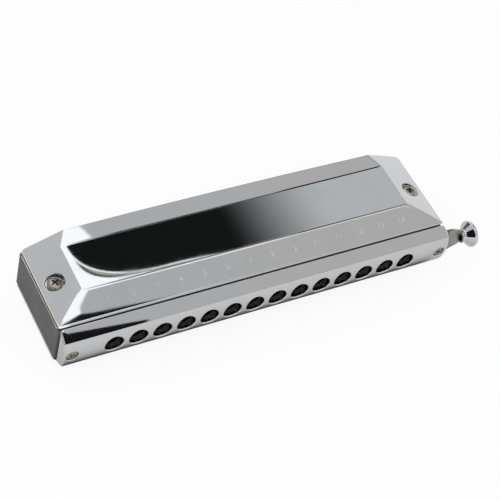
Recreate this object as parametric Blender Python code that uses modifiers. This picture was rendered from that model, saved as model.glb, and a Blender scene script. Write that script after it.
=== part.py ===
"""Fourteen-hole chromatic harmonica with a slide button, modelled piece by piece in metres.

The body frame has x = 0 at the middle of the hole row, y = 0 at the comb's front face and z = 0 at the
comb's middle plane. The empty "harmonica" carries that frame, so that the world origin lies under the
middle of the whole instrument.
"""

import math

import bmesh
import bpy
from mathutils import Matrix, Vector

MM = 0.001

# Clearances and shading
GAP = 0.1 * MM  # between pieces that lie against each other
PAST = 1.0 * MM  # how far a cutter runs past the face that it opens
SHARP_ANGLE = math.radians(35)
EMPTY_SIZE = 5.0 * MM

# Comb
COMB_LENGTH = 156.4 * MM
COMB_MIDDLE = -0.95 * MM  # from the middle of the hole row
COMB_DEPTH = 35.8 * MM
COMB_HEIGHT = 15.5 * MM
COMB_CORNER = 0.6 * MM
CORNER_STEPS = 3

# Hole row and the chambers behind it
HOLE_COUNT = 14
HOLE_PITCH = 9.2 * MM
HOLE_RADIUS = 3.5 * MM
HOLE_SIDES = 16
HOLE_FLARE = 0.35 * MM  # the rims widen by this much
HOLE_FLARE_DEPTH = 0.9 * MM
CHAMBER_WIDTH = 6.6 * MM
CHAMBER_FLOOR = 0.9 * MM  # half of the wall between upper and lower chambers
CHAMBER_LONGEST = 30.5 * MM
CHAMBER_SHORTEST = 21.0 * MM
CHAMBER_ROOF = 1.5 * MM  # thickness of the comb over the front of a chamber
CHAMBER_ROOF_END = 2.4 * MM

# Reed plates
PLATE_THICKNESS = 0.95 * MM
PLATE_CORNER = 1.8 * MM
PLATE_INSET = 0.35 * MM  # from the comb's ends
PLATE_FRONT = 1.2 * MM
REED_WIDTH = 2.2 * MM
REED_THICKNESS = 0.2 * MM
REED_LIFT = 0.12 * MM
REED_LONGEST = 24.0 * MM
REED_SHORTEST = 13.5 * MM
REED_PAD = 2.6 * MM
REED_SINK = 0.4 * MM  # how far a welded pad goes into its plate
REED_OFFSET = 1.6 * MM  # each way from the middle of the chamber
REED_FRONT = 3.2 * MM
SLOT_MARGIN = 0.12 * MM

# Covers
SHEET = 0.4 * MM
COVER_LENGTH = 155.6 * MM
COVER_MIDDLE = -0.55 * MM
COVER_FRONT = 0.4 * MM
COVER_FRONT_LIP = 1.2 * MM
COVER_END_LIP = 0.5 * MM
COVER_FLAT_HALF = 66.0 * MM
COVER_FRONT_CREASE = 9.8 * MM
COVER_BACK_CREASE = 29.9 * MM
COVER_TOP = 13.9 * MM  # from the middle plane
COVER_REAR_TOP = 15.24 * MM
COVER_REAR_BOW = 0.7 * MM  # the rear edge rises by this much at its middle
BOW_STEPS = 8
COVER_HEM = 1.1 * MM
COVER_FRONT_CORNER = 0.8 * MM
COVER_REAR_CORNER = 3.0 * MM

# Screws through the covers
COVER_SCREW_X = 72.9 * MM  # each way from the cover's middle
COVER_SCREW_Y = 17.9 * MM
DIMPLE_RADIUS = 3.3 * MM
DIMPLE_WALL = 0.45 * MM
DIMPLE_SEAT = 0.6 * MM  # thickness of metal under the head
SCREW_HEAD_RADIUS = 2.75 * MM
SCREW_HEAD_EDGE = 0.5 * MM
SCREW_HEAD_HEIGHT = 1.5 * MM
SCREW_HEAD_STEPS = 3
SCREW_RECESS_DEPTH = 1.0 * MM
SCREW_RECESS_REACH = 1.5 * MM
SCREW_RECESS_WIDTH = 0.6 * MM
SCREW_SIDES = 16
DIMPLE_SIDES = 24
BOLT_RADIUS = 1.25 * MM
BOLT_END = -8.6 * MM
NUT_SLEEVE_RADIUS = 1.9 * MM
NUT_SLEEVE_END = -5.0 * MM
NUT_BORE_END = -9.0 * MM

# Screws that hold the reed plates
PLATE_SCREW_REAR_X = (-60.0 * MM, -36.0 * MM, -12.0 * MM, 12.0 * MM, 36.0 * MM, 60.0 * MM)
PLATE_SCREW_REAR_Y = 33.2 * MM
PLATE_SCREW_END_X = 70.0 * MM
PLATE_SCREW_END_Y = 6.0 * MM
PLATE_SCREW_HEAD = 1.45 * MM
PLATE_SCREW_RADIUS = 0.7 * MM
PLATE_SCREW_LENGTH = 4.0 * MM
PLATE_SCREW_SIDES = 10

# Mouthpiece
MOUTHPIECE_LEFT = -78.5 * MM
MOUTHPIECE_RIGHT = 79.2 * MM
MOUTHPIECE_BACK = -0.3 * MM
MOUTHPIECE_BACK_HALF = 8.4 * MM
MOUTHPIECE_CREASE = -4.5 * MM
MOUTHPIECE_CREASE_HALF = 6.1 * MM
MOUTHPIECE_NOSE = -5.8 * MM
MOUTHPIECE_CORNER = 1.4 * MM
NOSE_STEPS = 8
POCKET_LEFT = -77.5 * MM
POCKET_FLOOR = -2.55 * MM
POCKET_HALF = 6.9 * MM
MOUTHPIECE_SCREW_X = 75.25 * MM  # each way from the middle of the two screws
MOUTHPIECE_SCREW_MIDDLE = -0.15 * MM
MOUTHPIECE_SCREW_HEAD = 2.2 * MM
MOUTHPIECE_SCREW_DOME = 0.35 * MM
MOUTHPIECE_SCREW_SHOULDER = 1.3 * MM  # radius where the dome's top facet ends
MOUTHPIECE_SCREW_SHOULDER_RISE = 0.25 * MM
MOUTHPIECE_RECESS_DEPTH = 0.8 * MM
MOUTHPIECE_RECESS_REACH = 1.2 * MM
MOUTHPIECE_RECESS_WIDTH = 0.5 * MM
MOUTHPIECE_SCREW_RADIUS = 1.0 * MM
MOUTHPIECE_SCREW_SEAT = -5.7 * MM
MOUTHPIECE_SCREW_END = 7.5 * MM

# Slide and the plates it runs between
SLIDE_TRAVEL = 4.6 * MM
SLIDE_FRONT = -1.95 * MM
SLIDE_BACK = -1.15 * MM
SLIDE_HALF = 6.3 * MM
SLIDE_LEFT = -72.4 * MM
NECK_START = 82.0 * MM
NECK_END = 87.8 * MM
NECK_END_HALF = 3.6 * MM
TONGUE_END = 90.3 * MM
TONGUE_HALF = 1.7 * MM
WINDOW_WIDTH = 4.4 * MM
WINDOW_LOW = 0.7 * MM
WINDOW_HIGH = 3.6 * MM
BACK_PLATE_FRONT = -1.05 * MM
BACK_PLATE_BACK = -0.2 * MM
BACK_PLATE_END = 72.5 * MM
BACK_PLATE_HALF = 6.7 * MM
GUIDE_FRONT = -2.45 * MM
GUIDE_BACK = -2.05 * MM
GUIDE_LEFT = -77.3 * MM
GUIDE_RIGHT = 78.1 * MM
GUIDE_HALF = 6.8 * MM
RAIL_LOW = 6.4 * MM
RAIL_BACK = -1.2 * MM
BUMPER_RADIUS = 1.6 * MM
BUMPER_BORE = 1.15 * MM
BUMPER_SIDES = 16

# Button
COLLAR_RADIUS = 3.0 * MM
COLLAR_LENGTH = 0.8 * MM
COLLAR_CHAMFER = 0.3 * MM
WAIST_RADIUS = 2.4 * MM
WAIST_LENGTH = 0.6 * MM
FLARE_END = 3.9 * MM
BUTTON_RADIUS = 5.35 * MM
RIM_LENGTH = 0.9 * MM
BUTTON_EDGE = 0.6 * MM
BUTTON_EDGE_RISE = 0.4 * MM
CROWN_RADIUS = 2.7 * MM  # the end is nearly flat within this radius
CROWN_RISE = 0.2 * MM
BUTTON_LENGTH = 5.5 * MM
BUTTON_SIDES = 24

# Return spring
SPRING_POST_X = 68.3 * MM
SPRING_POST_Y = 7.2 * MM
SPRING_POST_RADIUS = 1.3 * MM
SPRING_POST_HALF = 5.2 * MM
SPRING_RADIUS = 2.1 * MM
SPRING_WIRE = 0.25 * MM
SPRING_PITCH = 0.95 * MM
SPRING_TURNS = 3.25
SPRING_STEPS = 10  # points in a turn
SPRING_FIXED_LEG = 3.2 * MM
SPRING_LEG_TIP = -1.8 * MM
SPRING_HOLE = 0.45 * MM
SPRING_POCKET_LEFT = 64.6 * MM
SPRING_POCKET_RIGHT = 71.6 * MM
SPRING_POCKET_DEPTH = 12.0 * MM
SPRING_POCKET_HALF = 3.4 * MM

# Heights and places that follow from the sizes above
COMB_LEFT = COMB_MIDDLE - COMB_LENGTH / 2
COMB_RIGHT = COMB_MIDDLE + COMB_LENGTH / 2
COMB_TOP = COMB_HEIGHT / 2
PLATE_BOTTOM = COMB_TOP + GAP
PLATE_TOP = PLATE_BOTTOM + PLATE_THICKNESS
LIP_BOTTOM = PLATE_TOP + GAP
LIP_TOP = LIP_BOTTOM + SHEET
COVER_HALF = COVER_LENGTH / 2
COVER_SLOPE_X = COVER_HALF - COVER_END_LIP
COVER_SLOPE = (COVER_TOP - LIP_TOP) / (COVER_SLOPE_X - COVER_FLAT_HALF)
SCREW_SEAT = LIP_BOTTOM + DIMPLE_SEAT
SLIDE_MIDDLE = (SLIDE_FRONT + SLIDE_BACK) / 2
BUTTON_START = NECK_END + GAP
BUTTON_END = BUTTON_START + BUTTON_LENGTH
FRAME_SHIFT = Vector((
    -(COMB_LEFT + BUTTON_END) / 2,
    -(SLIDE_MIDDLE - BUTTON_RADIUS + COMB_DEPTH) / 2,
    COVER_REAR_TOP + COVER_REAR_BOW,
))

# Finishes: colour, metallic value and roughness
FINISHES = {
    "chrome": ((0.60, 0.605, 0.61), 1.0, 0.05),
    "brass": ((0.72, 0.55, 0.30), 1.0, 0.28),
    "nickel": ((0.70, 0.66, 0.58), 1.0, 0.22),
    "steel": ((0.52, 0.51, 0.48), 1.0, 0.32),
    "comb_plastic": ((0.055, 0.055, 0.058), 0.0, 0.55),
    "silicone": ((0.62, 0.62, 0.60), 0.0, 0.60),
}


def clear_scene():
    for old in list(bpy.data.objects):
        bpy.data.objects.remove(old, do_unlink=True)


def new_collection(name):
    collection = bpy.data.collections.new(name)
    bpy.context.scene.collection.children.link(collection)
    return collection


clear_scene()
PARTS = new_collection("harmonica")
CUTTERS = new_collection("cutters")


def new_empty(name, location, parent=None):
    empty = bpy.data.objects.new(name, None)
    empty.location = location
    empty.parent = parent
    empty.empty_display_size = EMPTY_SIZE
    PARTS.objects.link(empty)
    return empty


HARMONICA = new_empty("harmonica", FRAME_SHIFT)


def finish_material(finish):
    """The Principled material of a finish, made at its first use."""
    if finish in bpy.data.materials:
        return bpy.data.materials[finish]
    colour, metallic, roughness = FINISHES[finish]
    material = bpy.data.materials.new(finish)
    material.use_nodes = True
    shader = material.node_tree.nodes["Principled BSDF"]
    shader.inputs["Base Color"].default_value = (*colour, 1.0)
    shader.inputs["Metallic"].default_value = metallic
    shader.inputs["Roughness"].default_value = roughness
    return material


def add_piece(name, data, finish, parent=HARMONICA):
    """Put mesh or curve data in the scene as a named piece."""
    piece = bpy.data.objects.new(name, data)
    if not data.materials:
        data.materials.append(finish_material(finish))
    piece.parent = parent
    PARTS.objects.link(piece)
    return piece


def closed_mesh(name, bm):
    """Turn a bmesh of closed shapes into mesh data with its faces pointing out."""
    bmesh.ops.recalc_face_normals(bm, faces=bm.faces)
    mesh = bpy.data.meshes.new(name)
    bm.to_mesh(mesh)
    bm.free()
    return mesh


def worked_out(piece):
    """New mesh data holding a piece with its modifiers applied."""
    graph = bpy.context.evaluated_depsgraph_get()
    return bpy.data.meshes.new_from_object(piece.evaluated_get(graph))


def use_tool(piece, operation, bm):
    """Add a Boolean that cuts, joins or trims a piece with the shapes in a bmesh."""
    name = f"{piece.name}_{operation.lower()}"
    tool = bpy.data.objects.new(name, closed_mesh(name, bm))
    tool.parent = piece.parent
    tool.location = piece.location
    tool.rotation_euler = piece.rotation_euler
    tool.hide_render = True
    tool.display_type = "WIRE"
    CUTTERS.objects.link(tool)
    modifier = piece.modifiers.new(operation.title(), "BOOLEAN")
    modifier.operation = operation
    modifier.solver = "EXACT"
    modifier.object = tool


def add_box(bm, low, high):
    low = Vector(low)
    high = Vector(high)
    made = bmesh.ops.create_cube(bm, size=1.0)
    bmesh.ops.scale(bm, vec=high - low, verts=made["verts"])
    bmesh.ops.translate(bm, vec=(low + high) / 2, verts=made["verts"])


def add_stepped_rod(bm, start, axis, stations, sides=16):
    """Add a round bar whose radius changes along an axis, given as (distance, radius) stations."""
    start = Vector(start)
    axis = Vector(axis)
    turn = Vector((0, 0, 1)).rotation_difference(axis).to_matrix().to_4x4()
    distance, radius = stations[0]
    place = Matrix.Translation(start + axis * distance) @ turn
    made = bmesh.ops.create_circle(bm, cap_ends=True, segments=sides, radius=radius, matrix=place)
    cap = made["verts"][0].link_faces[0]
    for step, (next_distance, next_radius) in enumerate(stations[1:]):
        made = bmesh.ops.extrude_face_region(bm, geom=[cap])
        if step > 0:
            bmesh.ops.delete(bm, geom=[cap], context="FACES_ONLY")
        ring = [item for item in made["geom"] if isinstance(item, bmesh.types.BMVert)]
        cap = next(item for item in made["geom"] if isinstance(item, bmesh.types.BMFace))
        bmesh.ops.translate(bm, vec=axis * (next_distance - distance), verts=ring)
        centre = Matrix.Translation(-(start + axis * next_distance))
        bmesh.ops.scale(bm, vec=Vector((1, 1, 1)) * (next_radius / radius), verts=ring, space=centre)
        distance = next_distance
        radius = next_radius


def add_rod(bm, start, end, radius, sides=16):
    """Add a cylinder between two points."""
    along = Vector(end) - Vector(start)
    add_stepped_rod(bm, start, along.normalized(), [(0, radius), (along.length, radius)], sides)


def add_prism(bm, outline, push):
    """Add a flat outline extruded along a vector."""
    face = bm.faces.new([bm.verts.new(point) for point in outline])
    made = bmesh.ops.extrude_face_region(bm, geom=[face])
    moved = [item for item in made["geom"] if isinstance(item, bmesh.types.BMVert)]
    bmesh.ops.translate(bm, vec=push, verts=moved)


def arc(centre, radius, start, end, steps):
    """Points on a circle, from one angle in degrees to another."""
    angles = [math.radians(start + (end - start) * step / steps) for step in range(steps + 1)]
    return [(centre[0] + radius * math.cos(a), centre[1] + radius * math.sin(a)) for a in angles]


def plan_outline(left, right, front, rear, front_radius, rear_radius):
    """Plan of a plate with rounded corners, anticlockwise from its front left corner."""
    outline = arc((left + front_radius, front + front_radius), front_radius, 180, 270, CORNER_STEPS)
    outline += arc((right - front_radius, front + front_radius), front_radius, 270, 360, CORNER_STEPS)
    outline += arc((right - rear_radius, rear - rear_radius), rear_radius, 0, 90, CORNER_STEPS)
    outline += arc((left + rear_radius, rear - rear_radius), rear_radius, 90, 180, CORNER_STEPS)
    return outline


def add_plan(bm, outline, low, high):
    add_prism(bm, [(x, y, low) for x, y in outline], (0, 0, high - low))


def turned_mesh(name, profile, sides):
    """Mesh data of a profile, given as radius and height from top to bottom, turned about Z."""
    bm = bmesh.new()
    verts = [bm.verts.new((radius, 0, height)) for radius, height in profile]
    for upper, lower in zip(verts, verts[1:]):
        bm.edges.new((upper, lower))
    mesh = bpy.data.meshes.new(f"{name}_profile")
    bm.to_mesh(mesh)
    bm.free()
    blank = bpy.data.objects.new(f"{name}_blank", mesh)
    CUTTERS.objects.link(blank)
    screw = blank.modifiers.new("Turn", "SCREW")
    screw.steps = sides
    screw.render_steps = sides
    screw.use_merge_vertices = True
    screw.merge_threshold = 0.001 * MM
    turned = worked_out(blank)
    turned.name = name
    bpy.data.objects.remove(blank)
    return turned


def add_cross_recess(piece, top, depth, reach, width):
    """Cut a crosshead driver recess into a screw whose axis is its own Z."""
    half = width / 2
    quarter = [(half, half), (half, reach), (-half, reach)]
    outline = []
    for turn in range(4):
        spin = Matrix.Rotation(math.radians(90 * turn), 2)
        outline += [spin @ Vector(point) for point in quarter]
    bm = bmesh.new()
    add_plan(bm, outline, top - depth, top + PAST)
    use_tool(piece, "DIFFERENCE", bm)


def apply_tools(piece):
    """Keep a piece's worked-out mesh, so that copies can share it."""
    mesh = worked_out(piece)
    mesh.name = piece.name
    for modifier in piece.modifiers:
        bpy.data.objects.remove(modifier.object)
    piece.modifiers.clear()
    piece.data = mesh
    mesh.shade_smooth()
    mesh.set_sharp_from_angle(angle=SHARP_ANGLE)


def hole_x(index):
    return (index - (HOLE_COUNT - 1) / 2) * HOLE_PITCH


def along_row(first, last, index):
    """A size that changes evenly from the lowest note to the highest."""
    return first + (last - first) * index / (HOLE_COUNT - 1)


def cover_screw_places():
    return {
        "left": (COVER_MIDDLE - COVER_SCREW_X, COVER_SCREW_Y),
        "right": (COVER_MIDDLE + COVER_SCREW_X, COVER_SCREW_Y),
    }


def mouthpiece_screw_places():
    return {
        "left": MOUTHPIECE_SCREW_MIDDLE - MOUTHPIECE_SCREW_X,
        "right": MOUTHPIECE_SCREW_MIDDLE + MOUTHPIECE_SCREW_X,
    }


def plate_screw_places():
    rear = [(x, PLATE_SCREW_REAR_Y) for x in PLATE_SCREW_REAR_X]
    return rear + [(-PLATE_SCREW_END_X, PLATE_SCREW_END_Y), (PLATE_SCREW_END_X, PLATE_SCREW_END_Y)]


def make_comb():
    """Block with an upper and a lower chamber behind every hole."""
    plan = plan_outline(COMB_LEFT, COMB_RIGHT, 0, COMB_DEPTH, COMB_CORNER, COMB_CORNER)
    bm = bmesh.new()
    add_plan(bm, plan, -COMB_TOP, COMB_TOP)
    comb = add_piece("comb", closed_mesh("comb", bm), "comb_plastic")

    cuts = bmesh.new()
    for index in range(HOLE_COUNT):
        left = hole_x(index) - CHAMBER_WIDTH / 2
        rear = along_row(CHAMBER_LONGEST, CHAMBER_SHORTEST, index)
        side = [
            (-PAST, CHAMBER_FLOOR),
            (rear, CHAMBER_FLOOR),
            (rear, COMB_TOP + PAST),
            (CHAMBER_ROOF_END, COMB_TOP + PAST),
            (CHAMBER_ROOF_END, COMB_TOP - CHAMBER_ROOF),
            (-PAST, COMB_TOP - CHAMBER_ROOF),
        ]
        for up in (1, -1):
            add_prism(cuts, [(left, y, up * z) for y, z in side], (CHAMBER_WIDTH, 0, 0))
    add_box(
        cuts,
        (SPRING_POCKET_LEFT, -PAST, -SPRING_POCKET_HALF),
        (SPRING_POCKET_RIGHT, SPRING_POCKET_DEPTH, SPRING_POCKET_HALF),
    )
    for x in mouthpiece_screw_places().values():
        add_rod(cuts, (x, -PAST, 0), (x, MOUTHPIECE_SCREW_END + GAP, 0), MOUTHPIECE_SCREW_RADIUS + GAP)
    for x, y in cover_screw_places().values():
        shoulder = NUT_SLEEVE_END + GAP
        bore = [
            (-COMB_TOP - PAST, NUT_SLEEVE_RADIUS + GAP),
            (shoulder, NUT_SLEEVE_RADIUS + GAP),
            (shoulder, BOLT_RADIUS + GAP),
            (COMB_TOP + PAST, BOLT_RADIUS + GAP),
        ]
        add_stepped_rod(cuts, (x, y, 0), (0, 0, 1), bore)
    for x, y in plate_screw_places():
        tip = PLATE_TOP - PLATE_SCREW_LENGTH - GAP
        pilot = PLATE_SCREW_RADIUS + GAP
        add_rod(cuts, (x, y, tip), (x, y, COMB_TOP + PAST), pilot, PLATE_SCREW_SIDES)
        add_rod(cuts, (x, y, -COMB_TOP - PAST), (x, y, -tip), pilot, PLATE_SCREW_SIDES)
    use_tool(comb, "DIFFERENCE", cuts)

    pin_hole = bmesh.new()
    place = (SPRING_POST_X, SPRING_POST_Y)
    reach = SPRING_POST_HALF + GAP
    add_rod(pin_hole, (*place, -reach), (*place, reach), SPRING_POST_RADIUS + GAP)
    use_tool(comb, "DIFFERENCE", pin_hole)


def add_reed(bm, x, root, tip, face, out):
    """Add a reed: a pad sunk into the plate's face and a tongue that stands just clear of it."""
    pad_end = root + math.copysign(REED_PAD, tip - root)
    low = face - out * REED_SINK
    lifted = face + out * REED_LIFT
    top = lifted + out * REED_THICKNESS
    side = [(root, low), (pad_end, low), (pad_end, lifted), (tip, lifted), (tip, top), (root, top)]
    left = x - REED_WIDTH / 2
    add_prism(bm, [(left, y, z) for y, z in side], (REED_WIDTH, 0, 0))


def add_slot(bm, x, root, tip):
    """Add the cutter of the slot that a reed swings in."""
    step = math.copysign(1, tip - root)
    ends = sorted((root + step * (REED_PAD + SLOT_MARGIN), tip + step * SLOT_MARGIN))
    half = REED_WIDTH / 2 + SLOT_MARGIN
    add_box(bm, (x - half, ends[0], PLATE_BOTTOM - PAST), (x + half, ends[1], PLATE_TOP + PAST))


def make_reed_plates():
    """Brass plates with a draw reed outside and a blow reed inside each chamber."""
    ends = (COMB_LEFT + PLATE_INSET, COMB_RIGHT - PLATE_INSET)
    plan = plan_outline(*ends, PLATE_FRONT, COMB_DEPTH, COMB_CORNER, PLATE_CORNER)
    bm = bmesh.new()
    add_plan(bm, plan, PLATE_BOTTOM, PLATE_TOP)
    upper = add_piece("upper_reed_plate", closed_mesh("upper_reed_plate", bm), "brass")

    reeds = bmesh.new()
    cuts = bmesh.new()
    for index in range(HOLE_COUNT):
        length = along_row(REED_LONGEST, REED_SHORTEST, index)
        draw_x = hole_x(index) + REED_OFFSET
        blow_x = hole_x(index) - REED_OFFSET
        front = REED_FRONT
        rear = REED_FRONT + length
        add_reed(reeds, draw_x, front, rear, PLATE_TOP, 1)
        add_reed(reeds, blow_x, rear, front, PLATE_BOTTOM, -1)
        add_slot(cuts, draw_x, front, rear)
        add_slot(cuts, blow_x, rear, front)
    for x, y in cover_screw_places().values():
        add_rod(cuts, (x, y, PLATE_BOTTOM - PAST), (x, y, PLATE_TOP + PAST), NUT_SLEEVE_RADIUS + GAP)
    shank = PLATE_SCREW_RADIUS + GAP
    head = PLATE_SCREW_HEAD + GAP
    countersink = [
        (PLATE_BOTTOM - PAST, shank),
        (PLATE_TOP + shank - head, shank),
        (PLATE_TOP, head),
        (PLATE_TOP + PAST, head),
    ]
    for x, y in plate_screw_places():
        add_stepped_rod(cuts, (x, y, 0), (0, 0, 1), countersink, PLATE_SCREW_SIDES)
    use_tool(upper, "DIFFERENCE", cuts)
    use_tool(upper, "UNION", reeds)
    add_piece("lower_reed_plate", mirrored_mesh(upper, "lower_reed_plate"), "brass")


def mirrored_mesh(piece, name):
    """New mesh data of an upper piece turned over to the lower side."""
    mesh = worked_out(piece)
    mesh.name = name
    mesh.transform(Matrix.Scale(-1, 4, (0, 0, 1)))
    mesh.flip_normals()
    return mesh


def cover_columns():
    """Columns of the cover's grid, as half lengths from its middle, with the panel in even steps."""
    panel = [COVER_FLAT_HALF * (2 * step / BOW_STEPS - 1) for step in range(BOW_STEPS + 1)]
    return [-COVER_HALF, -COVER_SLOPE_X] + panel + [COVER_SLOPE_X, COVER_HALF]


def cover_point(along, row):
    """Point of the cover's outer surface at a column and a row of its grid."""
    rows = (COVER_FRONT, COVER_FRONT + COVER_FRONT_LIP, COVER_FRONT_CREASE, COVER_BACK_CREASE, COMB_DEPTH)
    height = LIP_TOP
    raised = row >= 2 and abs(along) <= COVER_FLAT_HALF
    if raised:
        height = COVER_TOP
    if raised and row == 4:
        share = along / COVER_FLAT_HALF
        along = share * (COVER_FLAT_HALF - (COVER_REAR_TOP - COVER_TOP) / COVER_SLOPE)
        height = COVER_REAR_TOP + COVER_REAR_BOW * (1 - share**2)
    return Vector((COVER_MIDDLE + along, rows[row], height))


def make_cover_sheet():
    """Open outer surface of the upper cover, pressed from a flat grid."""
    bm = bmesh.new()
    columns = cover_columns()
    last_column = len(columns) - 1
    last_row = 4
    bmesh.ops.create_grid(bm, x_segments=last_column, y_segments=last_row, size=1.0)
    grid = {}
    for vert in bm.verts:
        column = round((vert.co.x + 1) / 2 * last_column)
        row = round((vert.co.y + 1) / 2 * last_row)
        grid[column, row] = vert
    for (column, row), vert in grid.items():
        vert.co = cover_point(columns[column], row)
    bmesh.ops.connect_verts(bm, verts=[grid[1, 1], grid[2, 2]])
    bmesh.ops.connect_verts(bm, verts=[grid[last_column - 1, 1], grid[last_column - 2, 2]])
    rear = [grid[column, last_row] for column in range(2, last_column - 1)]
    rear_edges = [bm.edges.get(pair) for pair in zip(rear, rear[1:])]
    made = bmesh.ops.extrude_edge_only(bm, edges=rear_edges)
    hem = [item for item in made["geom"] if isinstance(item, bmesh.types.BMVert)]
    bmesh.ops.translate(bm, vec=(0, 0, -COVER_HEM), verts=hem)
    bmesh.ops.recalc_face_normals(bm, faces=bm.faces)
    panel = max(bm.faces, key=lambda face: face.calc_area())
    if panel.normal.z < 0:
        bmesh.ops.reverse_faces(bm, faces=bm.faces)
    mesh = bpy.data.meshes.new("upper_cover")
    bm.to_mesh(mesh)
    bm.free()
    return mesh


def make_covers():
    """Chromed sheet covers, open at the back, with a dimple for each screw."""
    upper = add_piece("upper_cover", make_cover_sheet(), "chrome")
    solidify = upper.modifiers.new("Sheet", "SOLIDIFY")
    solidify.thickness = SHEET
    solidify.offset = -1
    solidify.use_even_offset = True

    cups = bmesh.new()
    dimples = bmesh.new()
    for side, (x, y) in cover_screw_places().items():
        out = -1 if side == "left" else 1
        cup_radius = DIMPLE_RADIUS + DIMPLE_WALL
        add_rod(cups, (x, y, LIP_BOTTOM), (x, y, COVER_TOP), cup_radius, DIMPLE_SIDES)
        middle = Vector((COVER_MIDDLE + out * COVER_SLOPE_X, y, LIP_TOP - SHEET / 2))
        slope_normal = Vector((out * COVER_SLOPE, 0, 1)).normalized()
        cut = bmesh.ops.bisect_plane(
            cups,
            geom=cups.verts[:] + cups.edges[:] + cups.faces[:],
            plane_co=middle,
            plane_no=slope_normal,
            clear_outer=True,
        )
        rim = [item for item in cut["geom_cut"] if isinstance(item, bmesh.types.BMEdge)]
        bmesh.ops.edgeloop_fill(cups, edges=rim)
        add_rod(dimples, (x, y, SCREW_SEAT), (x, y, COVER_TOP + PAST), DIMPLE_RADIUS, DIMPLE_SIDES)
    use_tool(upper, "UNION", cups)
    use_tool(upper, "DIFFERENCE", dimples)
    holes = bmesh.new()
    for x, y in cover_screw_places().values():
        add_rod(holes, (x, y, COMB_TOP), (x, y, COVER_TOP), NUT_SLEEVE_RADIUS + GAP)
    use_tool(upper, "DIFFERENCE", holes)

    plan = bmesh.new()
    ends = (COVER_MIDDLE - COVER_HALF, COVER_MIDDLE + COVER_HALF)
    corners = (COVER_FRONT_CORNER, COVER_REAR_CORNER + PAST)
    add_plan(plan, plan_outline(*ends, COVER_FRONT, COMB_DEPTH + PAST, *corners), 0, 2 * COVER_TOP)
    use_tool(upper, "INTERSECT", plan)
    add_piece("lower_cover", mirrored_mesh(upper, "lower_cover"), "chrome")


def head_profile():
    """Domed screw head from its crown down to its seat, which is at height 0."""
    rise = SCREW_HEAD_HEIGHT - SCREW_HEAD_EDGE
    dome_radius = (SCREW_HEAD_RADIUS**2 + rise**2) / (2 * rise)
    centre = SCREW_HEAD_HEIGHT - dome_radius
    profile = []
    for step in range(SCREW_HEAD_STEPS + 1):
        radius = SCREW_HEAD_RADIUS * step / SCREW_HEAD_STEPS
        profile.append((radius, centre + math.sqrt(dome_radius**2 - radius**2)))
    return profile + [(SCREW_HEAD_RADIUS, 0)]


def make_cover_fasteners():
    """Bolts from the upper cover through to sleeve nuts in the lower cover."""
    seat = SCREW_SEAT + GAP
    bolt = head_profile() + [(BOLT_RADIUS, 0), (BOLT_RADIUS, BOLT_END - seat), (0, BOLT_END - seat)]
    sleeve = -NUT_SLEEVE_END - seat
    bore = -NUT_BORE_END - seat
    nut = head_profile() + [
        (NUT_SLEEVE_RADIUS, 0),
        (NUT_SLEEVE_RADIUS, sleeve),
        (BOLT_RADIUS + GAP, sleeve),
        (BOLT_RADIUS + GAP, bore),
        (0, bore),
    ]
    for kind, profile, side_up in (("screw", bolt, 1), ("nut", nut, -1)):
        mesh = None
        for side, (x, y) in cover_screw_places().items():
            name = f"cover_{kind}_{side}"
            piece = add_piece(name, mesh or turned_mesh(name, profile, SCREW_SIDES), "nickel")
            piece.location = (x, y, side_up * seat)
            piece.rotation_euler = (0 if side_up > 0 else math.pi, 0, 0)
            if mesh is None:
                recess = (SCREW_RECESS_DEPTH, SCREW_RECESS_REACH, SCREW_RECESS_WIDTH)
                add_cross_recess(piece, SCREW_HEAD_HEIGHT, *recess)
                apply_tools(piece)
                mesh = piece.data


def make_plate_screws():
    """Flat-headed screws that hold each reed plate to the comb."""
    neck = PLATE_SCREW_RADIUS - PLATE_SCREW_HEAD
    profile = [
        (0, 0),
        (PLATE_SCREW_HEAD, 0),
        (PLATE_SCREW_RADIUS, neck),
        (PLATE_SCREW_RADIUS, -PLATE_SCREW_LENGTH),
        (0, -PLATE_SCREW_LENGTH),
    ]
    mesh = turned_mesh("plate_screw", profile, PLATE_SCREW_SIDES)
    for level, side_up in (("upper", 1), ("lower", -1)):
        for number, (x, y) in enumerate(plate_screw_places(), start=1):
            piece = add_piece(f"{level}_plate_screw_{number}", mesh, "nickel")
            piece.location = (x, y, side_up * PLATE_TOP)
            piece.rotation_euler = (0 if side_up > 0 else math.pi, 0, 0)


def mouthpiece_profile():
    """Section of the mouthpiece as (y, z): bands slope to two creases, with a rounded nose between."""
    sagitta = MOUTHPIECE_CREASE - MOUTHPIECE_NOSE
    radius = (MOUTHPIECE_CREASE_HALF**2 + sagitta**2) / (2 * sagitta)
    spread = math.degrees(math.asin(MOUTHPIECE_CREASE_HALF / radius))
    nose = arc((MOUTHPIECE_NOSE + radius, 0), radius, 180 - spread, 180 + spread, NOSE_STEPS)
    back = [(MOUTHPIECE_BACK, -MOUTHPIECE_BACK_HALF), (MOUTHPIECE_BACK, MOUTHPIECE_BACK_HALF)]
    return nose + back


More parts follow.
